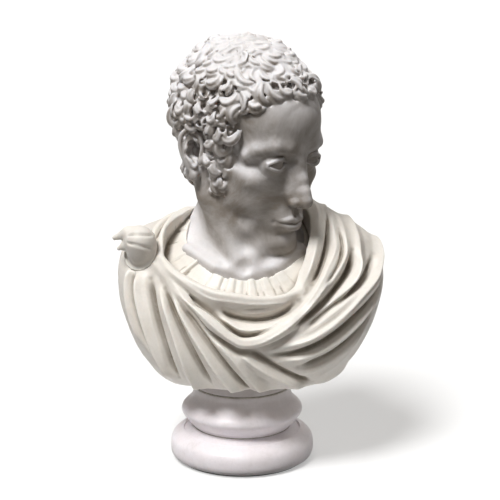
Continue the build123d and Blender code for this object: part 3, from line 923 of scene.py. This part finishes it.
def carve_back(s):
    """The scooped hollow behind the shoulders, with its pillar and the marks of the claw chisel."""
    low, high = HOLLOW_CENTRE - HOLLOW_SIZE - 8, HOLLOW_CENTRE + HOLLOW_SIZE + 8
    part, (x, y, z) = s.window(low, high)
    scoop = egg(HOLLOW_CENTRE, HOLLOW_SIZE)[0](x, y, z)
    a = np.interp(z.ravel(), PILLAR[:, 0], PILLAR[:, 1]).reshape(z.shape)
    b = np.interp(z.ravel(), PILLAR[:, 0], PILLAR[:, 2]).reshape(z.shape)
    u, v = (x - PILLAR_CENTRE[0]) / a, (y - PILLAR_CENTRE[1]) / b
    pillar = (np.sqrt(u**2 + v**2) - 1) * np.minimum(a, b)
    room = -soft_min(-scoop, pillar, 10.0)
    strokes = 0.9 * np.sin(0.55 * x + 0.35 * z + 1.6 * np.sin(0.06 * z) + 0.2 * y)
    strokes = strokes * (0.6 + 0.4 * np.sin(0.11 * x - 0.17 * z))
    s.field[part] = -soft_min(-s.field[part], (room + strokes).astype(np.float32), 4.0)


def carve_drapery(step):
    """The draped shoulders: folds, rolls and undercuts, then the neckline, the hollow and the holes."""
    s = Stone((-190, -150, 96), (214, 124, 372), step)
    x, y, z = s.grid()
    f = torso(x, y, z).astype(np.float32)
    g = np.gradient(f, step)
    f = f / np.maximum(np.sqrt(g[0] ** 2 + g[1] ** 2 + g[2] ** 2), 0.5)
    rise = np.zeros_like(f)
    for points, height, first, second in FOLDS:
        raise_fold(rise, s, points, height, first, second)
    rise = rise * ease(z, *FOLD_FADE)
    rise = rise - np.maximum(rise, 0) * SHOULDER_FADE * ease(z, *SHOULDER_TOP)
    s.field = f - rise
    for points, middle, ends in ROLLS:
        line, radius = roll_line(points, middle, ends, lift=9.0, end_lift=0.0)
        s.add(rope(line, radius), 7.0)
    for points, middle, ends in UNDERCUTS:
        line, radius = roll_line(points, middle, ends, lift=4.0, end_lift=19.0)
        s.cut(rope(line, radius), 6.0)
    carve_neckline(s)
    carve_back(s)
    carve_underside(s)
    s.cut(bore((0, 0, BUST_BOTTOM - 1), (0, 0, ANCHOR_TOP), ANCHOR_RADIUS), 0)
    dowel = NECK_JOINT - NECK_AXIS * (PLUG_DEPTH - 1)
    s.cut(bore(dowel - NECK_AXIS * (DOWEL_REACH + 1), dowel, DOWEL_HOLE), 0)
    s.cut(bore(CLASP_SEAT, CLASP_SEAT + CLASP_AXIS * 60, CLASP_SEAT_RADIUS), 0.5)
    s.cut(egg(KNOB_CENTRE, KNOB_SIZE + 0.4), 0.5)
    s.cut(bore(CLASP_SEAT - CLASP_AXIS * 30, CLASP_SEAT + CLASP_AXIS, PIN_HOLE), 0)
    return s


# ---------------------------------------------------------------- clasp

# Lines of the soft gathers over the knob, from its centre
GATHERS = (
    ((-16, -10, 11), (-5, -17, 14), (8, -16, 13), (17, -9, 11)),
    ((-17, -13, 1), (-5, -22, 0), (8, -20, -4), (17, -12, -8)),
)
GATHER_RADII = (1.2, 1.8, 2.2, 2.4, 2.4, 2.4, 2.2, 1.8, 1.2)


def carve_clasp(step):
    """A knot of cloth: a round knob with gathered folds, and the cloak's corner pulled through it."""
    c = KNOB_CENTRE
    s = Stone(c - 46, c + 46, step)
    s.add(egg(c, KNOB_SIZE), 0)
    s.add(bore(CLASP_SEAT, CLASP_SEAT + CLASP_AXIS * 4, 23.6), 10)
    s.add(limb(c, CLASP_SEAT + CLASP_AXIS * 4 + (3, 0, 4), 18, 20), 8)
    for points in GATHERS:
        line = smooth_line([c + np.array(p) for p in points], len(GATHER_RADII))
        s.cut(rope(line, GATHER_RADII), 3)
    # the corner of the cloth, pulled through and out
    s.add(rope([c + (-2, 9, 10), c + (-17, 8, 10), c + (-36, 12, 3)], [9.5, 8.5, 3.5], 6), 7)
    s.add(rope([c + (-6, 8, -2), c + (-19, 6, -6), c + (-30, 8, -11)], [9, 7.0, 3.0], 6), 4)
    x, y, z = s.grid()
    _, h = about_axis(x, y, z, CLASP_SEAT, CLASP_AXIS)
    # flat against its seat, with the hole for the pin
    s.field = np.maximum(s.field, -h.astype(np.float32))
    s.cut(bore(CLASP_SEAT - CLASP_AXIS, CLASP_SEAT + CLASP_AXIS * 16, PIN_HOLE), 0)
    return s


# ---------------------------------------------------------------- meshes

CORNERS = [(i, j, k) for i in (0, 1) for j in (0, 1) for k in (0, 1)]


def skin(stone):
    """The stone's surface as vertices and quads (surface nets), facing outwards."""
    d = stone.field
    inside = d < 0
    sizes = tuple(n - 1 for n in d.shape)
    tally = np.zeros(sizes, np.int8)
    for c in CORNERS:
        tally += inside[tuple(slice(c[i], c[i] + sizes[i]) for i in range(3))]
    active = (tally > 0) & (tally < 8)
    cells = np.argwhere(active)
    number = np.full(sizes, -1, np.int32)
    number[active] = np.arange(len(cells), dtype=np.int32)
    total = np.zeros((len(cells), 3), np.float32)
    hits = np.zeros(len(cells), np.float32)
    for c in CORNERS:
        for axis in range(3):
            if c[axis]:
                continue
            e = list(c)
            e[axis] = 1
            da = d[cells[:, 0] + c[0], cells[:, 1] + c[1], cells[:, 2] + c[2]]
            db = d[cells[:, 0] + e[0], cells[:, 1] + e[1], cells[:, 2] + e[2]]
            m = (da < 0) != (db < 0)
            point = np.tile(np.array(c, np.float32), (int(m.sum()), 1))
            point[:, axis] = da[m] / (da[m] - db[m])
            total[m] += point
            hits[m] += 1
    verts = stone.low + stone.step * (cells + total / hits[:, None])
    faces = []
    for axis in range(3):
        u, v = (axis + 1) % 3, (axis + 2) % 3
        first = [slice(None)] * 3
        last = [slice(None)] * 3
        first[axis], last[axis] = slice(0, -1), slice(1, None)
        a, b = inside[tuple(first)], inside[tuple(last)]
        e = np.argwhere(a != b)
        e = e[(e[:, u] > 0) & (e[:, v] > 0) & (e[:, u] < d.shape[u] - 1) & (e[:, v] < d.shape[v] - 1)]
        du, dv = np.eye(3, dtype=int)[u], np.eye(3, dtype=int)[v]
        quad = np.stack([number[tuple(r.T)] for r in (e, e - du, e - du - dv, e - dv)], axis=1)
        out = a[tuple(e.T)]
        quad[~out] = quad[~out][:, ::-1]
        faces.append(quad)
    return verts.astype(np.float32), np.concatenate(faces)


def largest_part(verts, quads):
    """Drops loose crumbs, and keeps the surface that most vertices belong to."""
    label = np.arange(len(verts))
    a, b = quads.ravel(), np.roll(quads, -1, axis=1).ravel()
    while True:
        new = label.copy()
        low = np.minimum(label[a], label[b])
        np.minimum.at(new, a, low)
        np.minimum.at(new, b, low)
        new = new[new]
        if (new == label).all():
            break
        label = new
    keep = label == np.bincount(label).argmax()
    number = np.cumsum(keep) - 1
    return verts[keep], number[quads[keep[quads[:, 0]]]]


def relax(verts, quads, rounds):
    """Eases the steps that the grid leaves on the surface, without shrinking it."""
    a, b = quads.ravel(), np.roll(quads, -1, axis=1).ravel()
    count = np.bincount(np.concatenate([a, b]), minlength=len(verts))[:, None]
    for _ in range(rounds):
        for share in (0.5, -0.53):
            total = [
                np.bincount(a, verts[b, i], len(verts)) + np.bincount(b, verts[a, i], len(verts))
                for i in range(3)
            ]
            verts = verts + share * (np.stack(total, 1) / count - verts)
    return verts


def mesh_object(name, verts, faces):
    """A smooth-shaded object from vertices in millimetres and faces of equal size."""
    mesh = bpy.data.meshes.new(name)
    corners = faces.shape[1]
    mesh.vertices.add(len(verts))
    mesh.vertices.foreach_set("co", np.ascontiguousarray(verts * MM, np.float32).ravel())
    mesh.loops.add(faces.size)
    mesh.loops.foreach_set("vertex_index", faces.astype(np.int32).ravel())
    mesh.polygons.add(len(faces))
    mesh.polygons.foreach_set("loop_start", np.arange(0, faces.size, corners, dtype=np.int32))
    mesh.update(calc_edges=True)
    mesh.polygons.foreach_set("use_smooth", np.ones(len(faces), bool))
    piece = bpy.data.objects.new(name, mesh)
    bpy.context.scene.collection.objects.link(piece)
    return piece


def thin_out(piece, share):
    """Collapses a mesh to a share of its faces, and keeps the fine parts."""
    modifier = piece.modifiers.new("thin", "DECIMATE")
    modifier.ratio = share
    depsgraph = bpy.context.evaluated_depsgraph_get()
    thinned = bpy.data.meshes.new_from_object(piece.evaluated_get(depsgraph))
    piece.modifiers.clear()
    piece.data = thinned
    thinned.polygons.foreach_set("use_smooth", np.ones(len(thinned.polygons), bool))


def box_blur(a, cells):
    """The mean over a cube of 2 * cells + 1 cells a side."""
    for axis in range(3):
        pad = [(0, 0)] * 3
        pad[axis] = (cells + 1, cells)
        c = np.cumsum(np.pad(a, pad, mode="edge"), axis=axis, dtype=np.float64)
        size = a.shape[axis]
        above = [slice(None)] * 3
        below = [slice(None)] * 3
        above[axis] = slice(2 * cells + 1, 2 * cells + 1 + size)
        below[axis] = slice(0, size)
        a = ((c[tuple(above)] - c[tuple(below)]) / (2 * cells + 1)).astype(np.float32)
    return a


def sample(stone, grid, points):
    """A grid's values at points, interpolated."""
    q = (points - stone.low) / stone.step
    i = np.clip(np.floor(q).astype(int), 0, np.array(grid.shape) - 2)
    t = np.clip(q - i, 0, 1)
    total = 0
    for c in CORNERS:
        weight = np.prod([t[:, k] if c[k] else 1 - t[:, k] for k in range(3)], axis=0)
        total = total + weight * grid[i[:, 0] + c[0], i[:, 1] + c[1], i[:, 2] + c[2]]
    return total


# How far round a point the fine and the broad hollows are judged
FINE_REACH = 4.0
BROAD_REACH = 13.0


def sculpture(name, stone, in_head_frame=False):
    """The finished mesh of a carved stone, with its hollows and crests marked for the material."""
    verts, quads = largest_part(*skin(stone))
    verts = relax(verts, quads, 2)
    piece = mesh_object(name, to_bust(verts) if in_head_frame else verts, quads)
    share = MOST_TRIANGLES / (2 * len(quads))
    if share < 1:
        thin_out(piece, share)
    points = np.empty(len(piece.data.vertices) * 3, np.float32)
    piece.data.vertices.foreach_get("co", points)
    points = points.reshape(-1, 3) / MM
    if in_head_frame:
        points = to_head(points)
    for label, reach in (("fine_hollow", FINE_REACH), ("broad_hollow", BROAD_REACH)):
        blurred = box_blur(np.clip(stone.field, -reach, reach), max(1, round(reach / stone.step)))
        hollow = -sample(stone, blurred, points) / reach
        layer = piece.data.attributes.new(label, "FLOAT", "POINT")
        layer.data.foreach_set("value", hollow.astype(np.float32))
    return piece


# ---------------------------------------------------------------- materials

def new_material(name):
    material = bpy.data.materials.new(name)
    material.use_nodes = True
    tree = material.node_tree
    tree.nodes.clear()
    out = tree.nodes.new("ShaderNodeOutputMaterial")
    shader = tree.nodes.new("ShaderNodeBsdfPrincipled")
    tree.links.new(shader.outputs[0], out.inputs[0])
    return material, tree, shader


def noise(tree, scale, detail=4.0, roughness=0.55, distortion=0.0):
    node = tree.nodes.new("ShaderNodeTexNoise")
    coordinates = tree.nodes.new("ShaderNodeTexCoord")
    tree.links.new(coordinates.outputs["Object"], node.inputs["Vector"])
    node.inputs["Scale"].default_value = scale
    node.inputs["Detail"].default_value = detail
    node.inputs["Roughness"].default_value = roughness
    node.inputs["Distortion"].default_value = distortion
    return node.outputs["Fac"]


def ramp(tree, value, low, high, low_value=0.0, high_value=1.0):
    """Maps a range of a value onto another, with eased ends."""
    node = tree.nodes.new("ShaderNodeMapRange")
    node.interpolation_type = "SMOOTHSTEP"
    tree.links.new(value, node.inputs["Value"])
    numbers = {"From Min": low, "From Max": high, "To Min": low_value, "To Max": high_value}
    for label, number in numbers.items():
        node.inputs[label].default_value = number
    return node.outputs["Result"]


def mix(tree, factor, a, b):
    """Mixes two colours, each a socket or a constant."""
    node = tree.nodes.new("ShaderNodeMix")
    node.data_type = "RGBA"
    tree.links.new(factor, node.inputs[0])
    for socket, colour in ((node.inputs[6], a), (node.inputs[7], b)):
        if isinstance(colour, tuple):
            socket.default_value = (*colour, 1)
        else:
            tree.links.new(colour, socket)
    return node.outputs[2]


def combine(tree, operation, a, b=None):
    """A sum, product or the like of two values, each a socket or a number."""
    node = tree.nodes.new("ShaderNodeMath")
    node.operation = operation
    for socket, value in zip(node.inputs, (a, b)):
        if isinstance(value, (int, float)):
            socket.default_value = value
        elif value is not None:
            tree.links.new(value, socket)
    return node.outputs[0]


def bump(tree, shader, height, distance, strength, base=None):
    node = tree.nodes.new("ShaderNodeBump")
    node.inputs["Strength"].default_value = strength
    node.inputs["Distance"].default_value = distance
    tree.links.new(height, node.inputs["Height"])
    if base is not None:
        tree.links.new(base, node.inputs["Normal"])
    tree.links.new(node.outputs[0], shader.inputs["Normal"])
    return node.outputs[0]


def attribute(tree, name):
    node = tree.nodes.new("ShaderNodeAttribute")
    node.attribute_name = name
    return node.outputs["Fac"]


def darker(colour, share):
    return tuple(min(1.0, c * share) for c in colour)


def side_grime_and_shade(tree, amount):
    """Streaked darkening where the stone faces sideways or down: grime that rain and dusters miss, and
    painted shade.
    """
    facing = tree.nodes.new("ShaderNodeSeparateXYZ")
    tree.links.new(tree.nodes.new("ShaderNodeNewGeometry").outputs["Normal"], facing.inputs[0])
    turned = ramp(tree, facing.outputs["Z"], 0.70, -0.10)
    streaks = ramp(tree, noise(tree, 9.0, 7, 0.65, 0.8), 0.28, 0.66, 0.35 * amount, amount)
    return combine(tree, "MULTIPLY", turned, streaks)


# The heights, in metres, between which the socle's painted shade sets in
SOCLE_SHADE_HEIGHTS = (0.076, 0.100)


def socle_painted_shade(tree, amount):
    """Painted shade in patches on the socle's ring and neck, under the shoulders."""
    place = tree.nodes.new("ShaderNodeSeparateXYZ")
    tree.links.new(tree.nodes.new("ShaderNodeNewGeometry").outputs["Position"], place.inputs[0])
    height = ramp(tree, place.outputs["Z"], *SOCLE_SHADE_HEIGHTS)
    patches = ramp(tree, noise(tree, 30.0, 5, 0.6), 0.30, 0.70, 0.75 * amount, amount)
    return combine(tree, "MULTIPLY", height, patches)


# The patina's grey-brown, which also paints shade in the hollows, on the sides and on the socle
PATINA_AND_SHADE = (0.19, 0.15, 0.105)
# The most that the patina and painted shade cover in the hollows
SOILING_AND_SHADE = 0.9


def marble(name, light, shade, carved=True, roughness=0.42, grime_and_shade=0.2, socle_shade=0.0):
    """White marble with clouds and faint veins, patina and painted shade in its hollows, grime and painted
    shade on its sides and high on the socle, and crests lightened for wear and a painted highlight.
    """
    material, tree, shader = new_material(name)
    clouds = ramp(tree, noise(tree, 7.0, 5, 0.6, 0.6), 0.35, 0.68)
    colour = mix(tree, clouds, light, shade)
    vein = combine(tree, "ABSOLUTE", combine(tree, "SUBTRACT", noise(tree, 5.0, 7, 0.55, 1.4), 0.5))
    colour = mix(tree, ramp(tree, vein, 0.0, 0.022, 0.07, 0.0), colour, darker(shade, 0.72))
    colour = mix(tree, ramp(tree, noise(tree, 260.0, 2), 0.45, 0.75, 0.0, 0.16), colour, darker(shade, 0.8))
    if carved:
        # hollows darkened towards the patina's colour: patina, and painted shade
        stain = ramp(tree, noise(tree, 16.0, 6, 0.65, 0.3), 0.30, 0.72, 0.55, 1.0)
        fine = ramp(tree, attribute(tree, "fine_hollow"), 0.0, 0.26)
        broad = ramp(tree, attribute(tree, "broad_hollow"), 0.0, 0.30, 0.0, 0.8)
        dirt_and_shade = combine(tree, "MULTIPLY", combine(tree, "MAXIMUM", fine, broad), stain)
        dirt_and_shade = combine(tree, "MULTIPLY", dirt_and_shade, SOILING_AND_SHADE)
        dirt_and_shade = combine(tree, "MAXIMUM", dirt_and_shade, side_grime_and_shade(tree, grime_and_shade))
        colour = mix(tree, dirt_and_shade, colour, PATINA_AND_SHADE)
        # crests lightened: wear, and a painted highlight
        worn_and_highlit = ramp(tree, attribute(tree, "fine_hollow"), -0.40, -0.10, 0.55, 0.0)
        colour = mix(tree, worn_and_highlit, colour, darker(light, 1.14))
    else:
        dirt_and_shade = ramp(tree, noise(tree, 22.0, 6, 0.7, 0.5), 0.52, 0.78, 0.0, 0.22)
        colour = mix(tree, dirt_and_shade, colour, PATINA_AND_SHADE)
    # painted shade high on the socle's ring and neck, under the shoulders
    if socle_shade:
        colour = mix(tree, socle_painted_shade(tree, socle_shade), colour, PATINA_AND_SHADE)
    tree.links.new(colour, shader.inputs["Base Color"])
    polish = ramp(tree, noise(tree, 60.0, 4), 0.3, 0.7, roughness - 0.06, roughness + 0.08)
    rough = combine(tree, "ADD", polish, combine(tree, "MULTIPLY", dirt_and_shade, 0.3))
    tree.links.new(rough, shader.inputs["Roughness"])
    shader.inputs["Subsurface Weight"].default_value = 0.12
    shader.inputs["Subsurface Radius"].default_value = (0.012, 0.009, 0.007)
    shader.inputs["Subsurface Scale"].default_value = 1.0
    shader.inputs["Specular IOR Level"].default_value = 0.4
    shader.inputs["IOR"].default_value = 1.49
    waves = bump(tree, shader, noise(tree, 45.0, 5, 0.6), 0.0009, 0.5)
    bump(tree, shader, noise(tree, 420.0, 3, 0.6), 0.00022, 0.5, base=waves)
    return material


def glowing(name, albedo, glow):
    """Pale studio paper, with a glow that keeps it near white."""
    material, _, shader = new_material(name)
    shader.inputs["Base Color"].default_value = (albedo, albedo, albedo, 1)
    shader.inputs["Roughness"].default_value = 1.0
    shader.inputs["Specular IOR Level"].default_value = 0.0
    shader.inputs["Emission Color"].default_value = (1, 1, 1, 1)
    shader.inputs["Emission Strength"].default_value = glow
    return material


def grained(name, colour, other, roughness, metal=0.0, scale=120.0, grain=600.0, depth=0.0002):
    """A material with cloudy colour and a fine grain."""
    material, tree, shader = new_material(name)
    clouds = ramp(tree, noise(tree, scale), 0.35, 0.65)
    tree.links.new(mix(tree, clouds, colour, other), shader.inputs["Base Color"])
    rough = ramp(tree, noise(tree, scale * 1.7), 0.3, 0.7, roughness - 0.08, roughness + 0.1)
    tree.links.new(rough, shader.inputs["Roughness"])
    shader.inputs["Metallic"].default_value = metal
    bump(tree, shader, noise(tree, grain, 3), depth, 0.6)
    return material


# ---------------------------------------------------------------- pieces

skin_marble = marble("marble_head", (0.83, 0.81, 0.82), (0.75, 0.725, 0.72), grime_and_shade=0.85)
cloth_marble = marble("marble_drapery", (0.88, 0.84, 0.78), (0.80, 0.755, 0.69), grime_and_shade=0.12)
SOCLE_TONES = ((0.85, 0.80, 0.825), (0.77, 0.72, 0.735))
SOCLE_FINISH_AND_SHADE = {"roughness": 0.38, "socle_shade": 0.42}
socle_marble = marble("marble_socle", *SOCLE_TONES, carved=False, **SOCLE_FINISH_AND_SHADE)
post_marble = marble("marble_post", *SOCLE_TONES, grime_and_shade=0.35, **SOCLE_FINISH_AND_SHADE)
putty = grained("lime_putty", (0.52, 0.49, 0.43), (0.38, 0.35, 0.30), 0.85)
steel = grained("steel", (0.50, 0.50, 0.51), (0.36, 0.35, 0.35), 0.38, metal=1.0)
bronze = grained("bronze", (0.45, 0.28, 0.12), (0.30, 0.20, 0.10), 0.42, metal=1.0)
resin = grained("anchor_resin", (0.34, 0.31, 0.24), (0.27, 0.24, 0.19), 0.55)
FELT_WEAVE = {"scale": 500.0, "grain": 1800.0, "depth": 0.0006}
felt = grained("felt", (0.045, 0.075, 0.05), (0.03, 0.05, 0.035), 0.95, **FELT_WEAVE)


def dress(piece, material):
    piece.data.materials.clear()
    piece.data.materials.append(material)


def place(piece, node, slot, material):
    """A carved piece that stands for a CAD node."""
    dress(piece, material)
    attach(piece, "root")
    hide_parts(node)


head = sculpture("sculpted_head", carve_head(HEAD_STEP), in_head_frame=True)
place(head, "head_and_neck", "head_marble", skin_marble)
drapery = sculpture("sculpted_drapery", carve_drapery(DRAPERY_STEP))
place(drapery, "draped_bust", "bust_marble", cloth_marble)
# the post under the shoulders reads as the socle's neck, but for its face in the hollow
POST_TOP = BUST_BOTTOM + LIP_RISE + 1
POST_BACK = 60.0
drapery.data.materials.append(post_marble)
for face in drapery.data.polygons:
    x, y, z = face.center / MM
    if z < POST_TOP and x * x + y * y < (POST_RADIUS + 0.8) ** 2 and y < POST_BACK:
        face.material_index = 1
clasp = sculpture("knotted_clasp", carve_clasp(CLASP_STEP))
place(clasp, "cloak_clasp", "bust_marble", cloth_marble)

NODE_MATERIALS = {
    "base_felt": felt,
    "socle_foot": socle_marble,
    "socle_collar": socle_marble,
    "foot_bed": putty,
    "bust_bed": putty,
    "neck_bed": putty,
    "neck_dowel": bronze,
    "clasp_pin": bronze,
    "tie_rod": steel,
    "rod_anchor": resin,
    "pocket_washer": steel,
    "spring_washer": steel,
    "rod_nut": steel,
}
for node, material in NODE_MATERIALS.items():
    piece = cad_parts[node]
    for i in range(len(piece.material_slots)):
        piece.material_slots[i].material = material


# ---------------------------------------------------------------- floor, light and camera

# The paper's rings, outwards
STAND_RADIUS = 145.0
TABLE_RADIUS = 340.0
FLOOR_RADIUS = 20000.0


def floor(name, inner, outer, throws_light):
    """A flat ring of pale paper round the bust."""
    segments = 96
    angle = np.linspace(0, 2 * np.pi, segments, endpoint=False)
    circle = np.stack([np.cos(angle), np.sin(angle), 0 * angle], 1)
    i = np.arange(segments)
    j = (i + 1) % segments
    faces = np.stack([i, i + segments, j + segments, j], 1)
    piece = mesh_object(name, np.vstack([circle * inner, circle * outer]), faces)
    dress(piece, paper)
    piece.visible_diffuse = throws_light


def backdrop():
    """A pale shell over the floor; the camera sees it, and all light passes through it."""
    radius, rings, segments = FLOOR_RADIUS * 0.99, 24, 48
    up = np.linspace(-0.1, np.pi / 2 - 0.02, rings)
    turn = np.linspace(0, 2 * np.pi, segments, endpoint=False)
    u, t = np.meshgrid(up, turn, indexing="ij")
    verts = radius * np.stack([np.cos(u) * np.cos(t), np.cos(u) * np.sin(t), np.sin(u)], -1).reshape(-1, 3)
    r, c = np.meshgrid(np.arange(rings - 1), np.arange(segments), indexing="ij")
    r, c = r.ravel(), c.ravel()
    d = (c + 1) % segments
    faces = np.stack([r * segments + c, (r + 1) * segments + c, (r + 1) * segments + d, r * segments + d], 1)
    piece = mesh_object("backdrop", verts, faces)
    dress(piece, glowing("backdrop_paper", 0.0, 0.98))
    piece.visible_diffuse = False
    piece.visible_glossy = False
    piece.visible_shadow = False


def sun(name, azimuth, elevation, strength, softness, colour=(1, 1, 1)):
    """A broad distant light; azimuth 0 shines from the front and turns towards +X."""
    light = bpy.data.lights.new(name, "SUN")
    light.energy = strength
    light.angle = radians(softness)
    light.color = colour
    lamp = bpy.data.objects.new(name, light)
    bpy.context.scene.collection.objects.link(lamp)
    a, e = radians(azimuth), radians(elevation)
    source = Vector((np.sin(a) * np.cos(e), -np.cos(a) * np.cos(e), np.sin(e)))
    lamp.rotation_euler = source.to_track_quat("Z", "Y").to_euler()


# Brightness of the surroundings: (upward part of the direction, strength)
SURROUNDINGS = ((-1.0, 0.04), (-0.1, 0.07), (0.0, 0.14), (0.3, 0.17), (1.0, 0.36))


def surroundings():
    """A soft studio: dim below, a pale horizon, and a half-bright ceiling."""
    world = bpy.data.worlds.new("studio")
    world.use_nodes = True
    tree = world.node_tree
    background = tree.nodes["Background"]
    direction = tree.nodes.new("ShaderNodeTexCoord").outputs["Generated"]
    split = tree.nodes.new("ShaderNodeSeparateXYZ")
    tree.links.new(direction, split.inputs[0])
    curve = tree.nodes.new("ShaderNodeFloatCurve")
    curve.inputs["Factor"].default_value = 1.0
    remap = combine(tree, "MULTIPLY_ADD", split.outputs["Z"], 0.5)
    tree.links.new(remap, curve.inputs["Value"])
    remap.node.inputs[2].default_value = 0.5
    line = curve.mapping.curves[0]
    line.points[0].location = (0.0, SURROUNDINGS[0][1])
    line.points[1].location = (1.0, SURROUNDINGS[-1][1])
    for height, value in SURROUNDINGS[1:-1]:
        line.points.new(height * 0.5 + 0.5, value)
    for point in line.points:
        point.handle_type = "VECTOR"
    curve.mapping.update()
    tree.links.new(curve.outputs[0], background.inputs["Strength"])
    background.inputs["Color"].default_value = (1.0, 0.955, 0.90, 1.0)
    bpy.context.scene.world = world


CAMERA_PLACE = (0.0, -1.9, 0.73)
# How many degrees it looks down
CAMERA_PITCH = 12.78
LENS = 100.7
SENSOR = 36.0
SHIFT_X = 0.016


def camera():
    data = bpy.data.cameras.new("camera")
    data.lens = LENS
    data.sensor_width = SENSOR
    data.shift_x = SHIFT_X
    data.clip_end = 100.0
    eye = bpy.data.objects.new("camera", data)
    eye.location = CAMERA_PLACE
    eye.rotation_euler = (radians(90 - CAMERA_PITCH), 0, 0)
    bpy.context.scene.collection.objects.link(eye)
    bpy.context.scene.camera = eye


paper = glowing("floor_paper", 0.62, 0.36)
# only a ring of the paper throws light back up: not the part in the foot's shade, nor the far part
floor("stand", 1.0, STAND_RADIUS, False)
floor("table", STAND_RADIUS, TABLE_RADIUS, True)
floor("floor", TABLE_RADIUS, FLOOR_RADIUS, False)
backdrop()
sun("key", azimuth=-37, elevation=58, strength=3.1, softness=20)
# a weak light from behind, so that the back can be read too
sun("back", azimuth=162, elevation=38, strength=0.55, softness=60, colour=(1.0, 0.97, 0.93))
surroundings()
camera()
bpy.context.scene.view_settings.view_transform = "Standard"
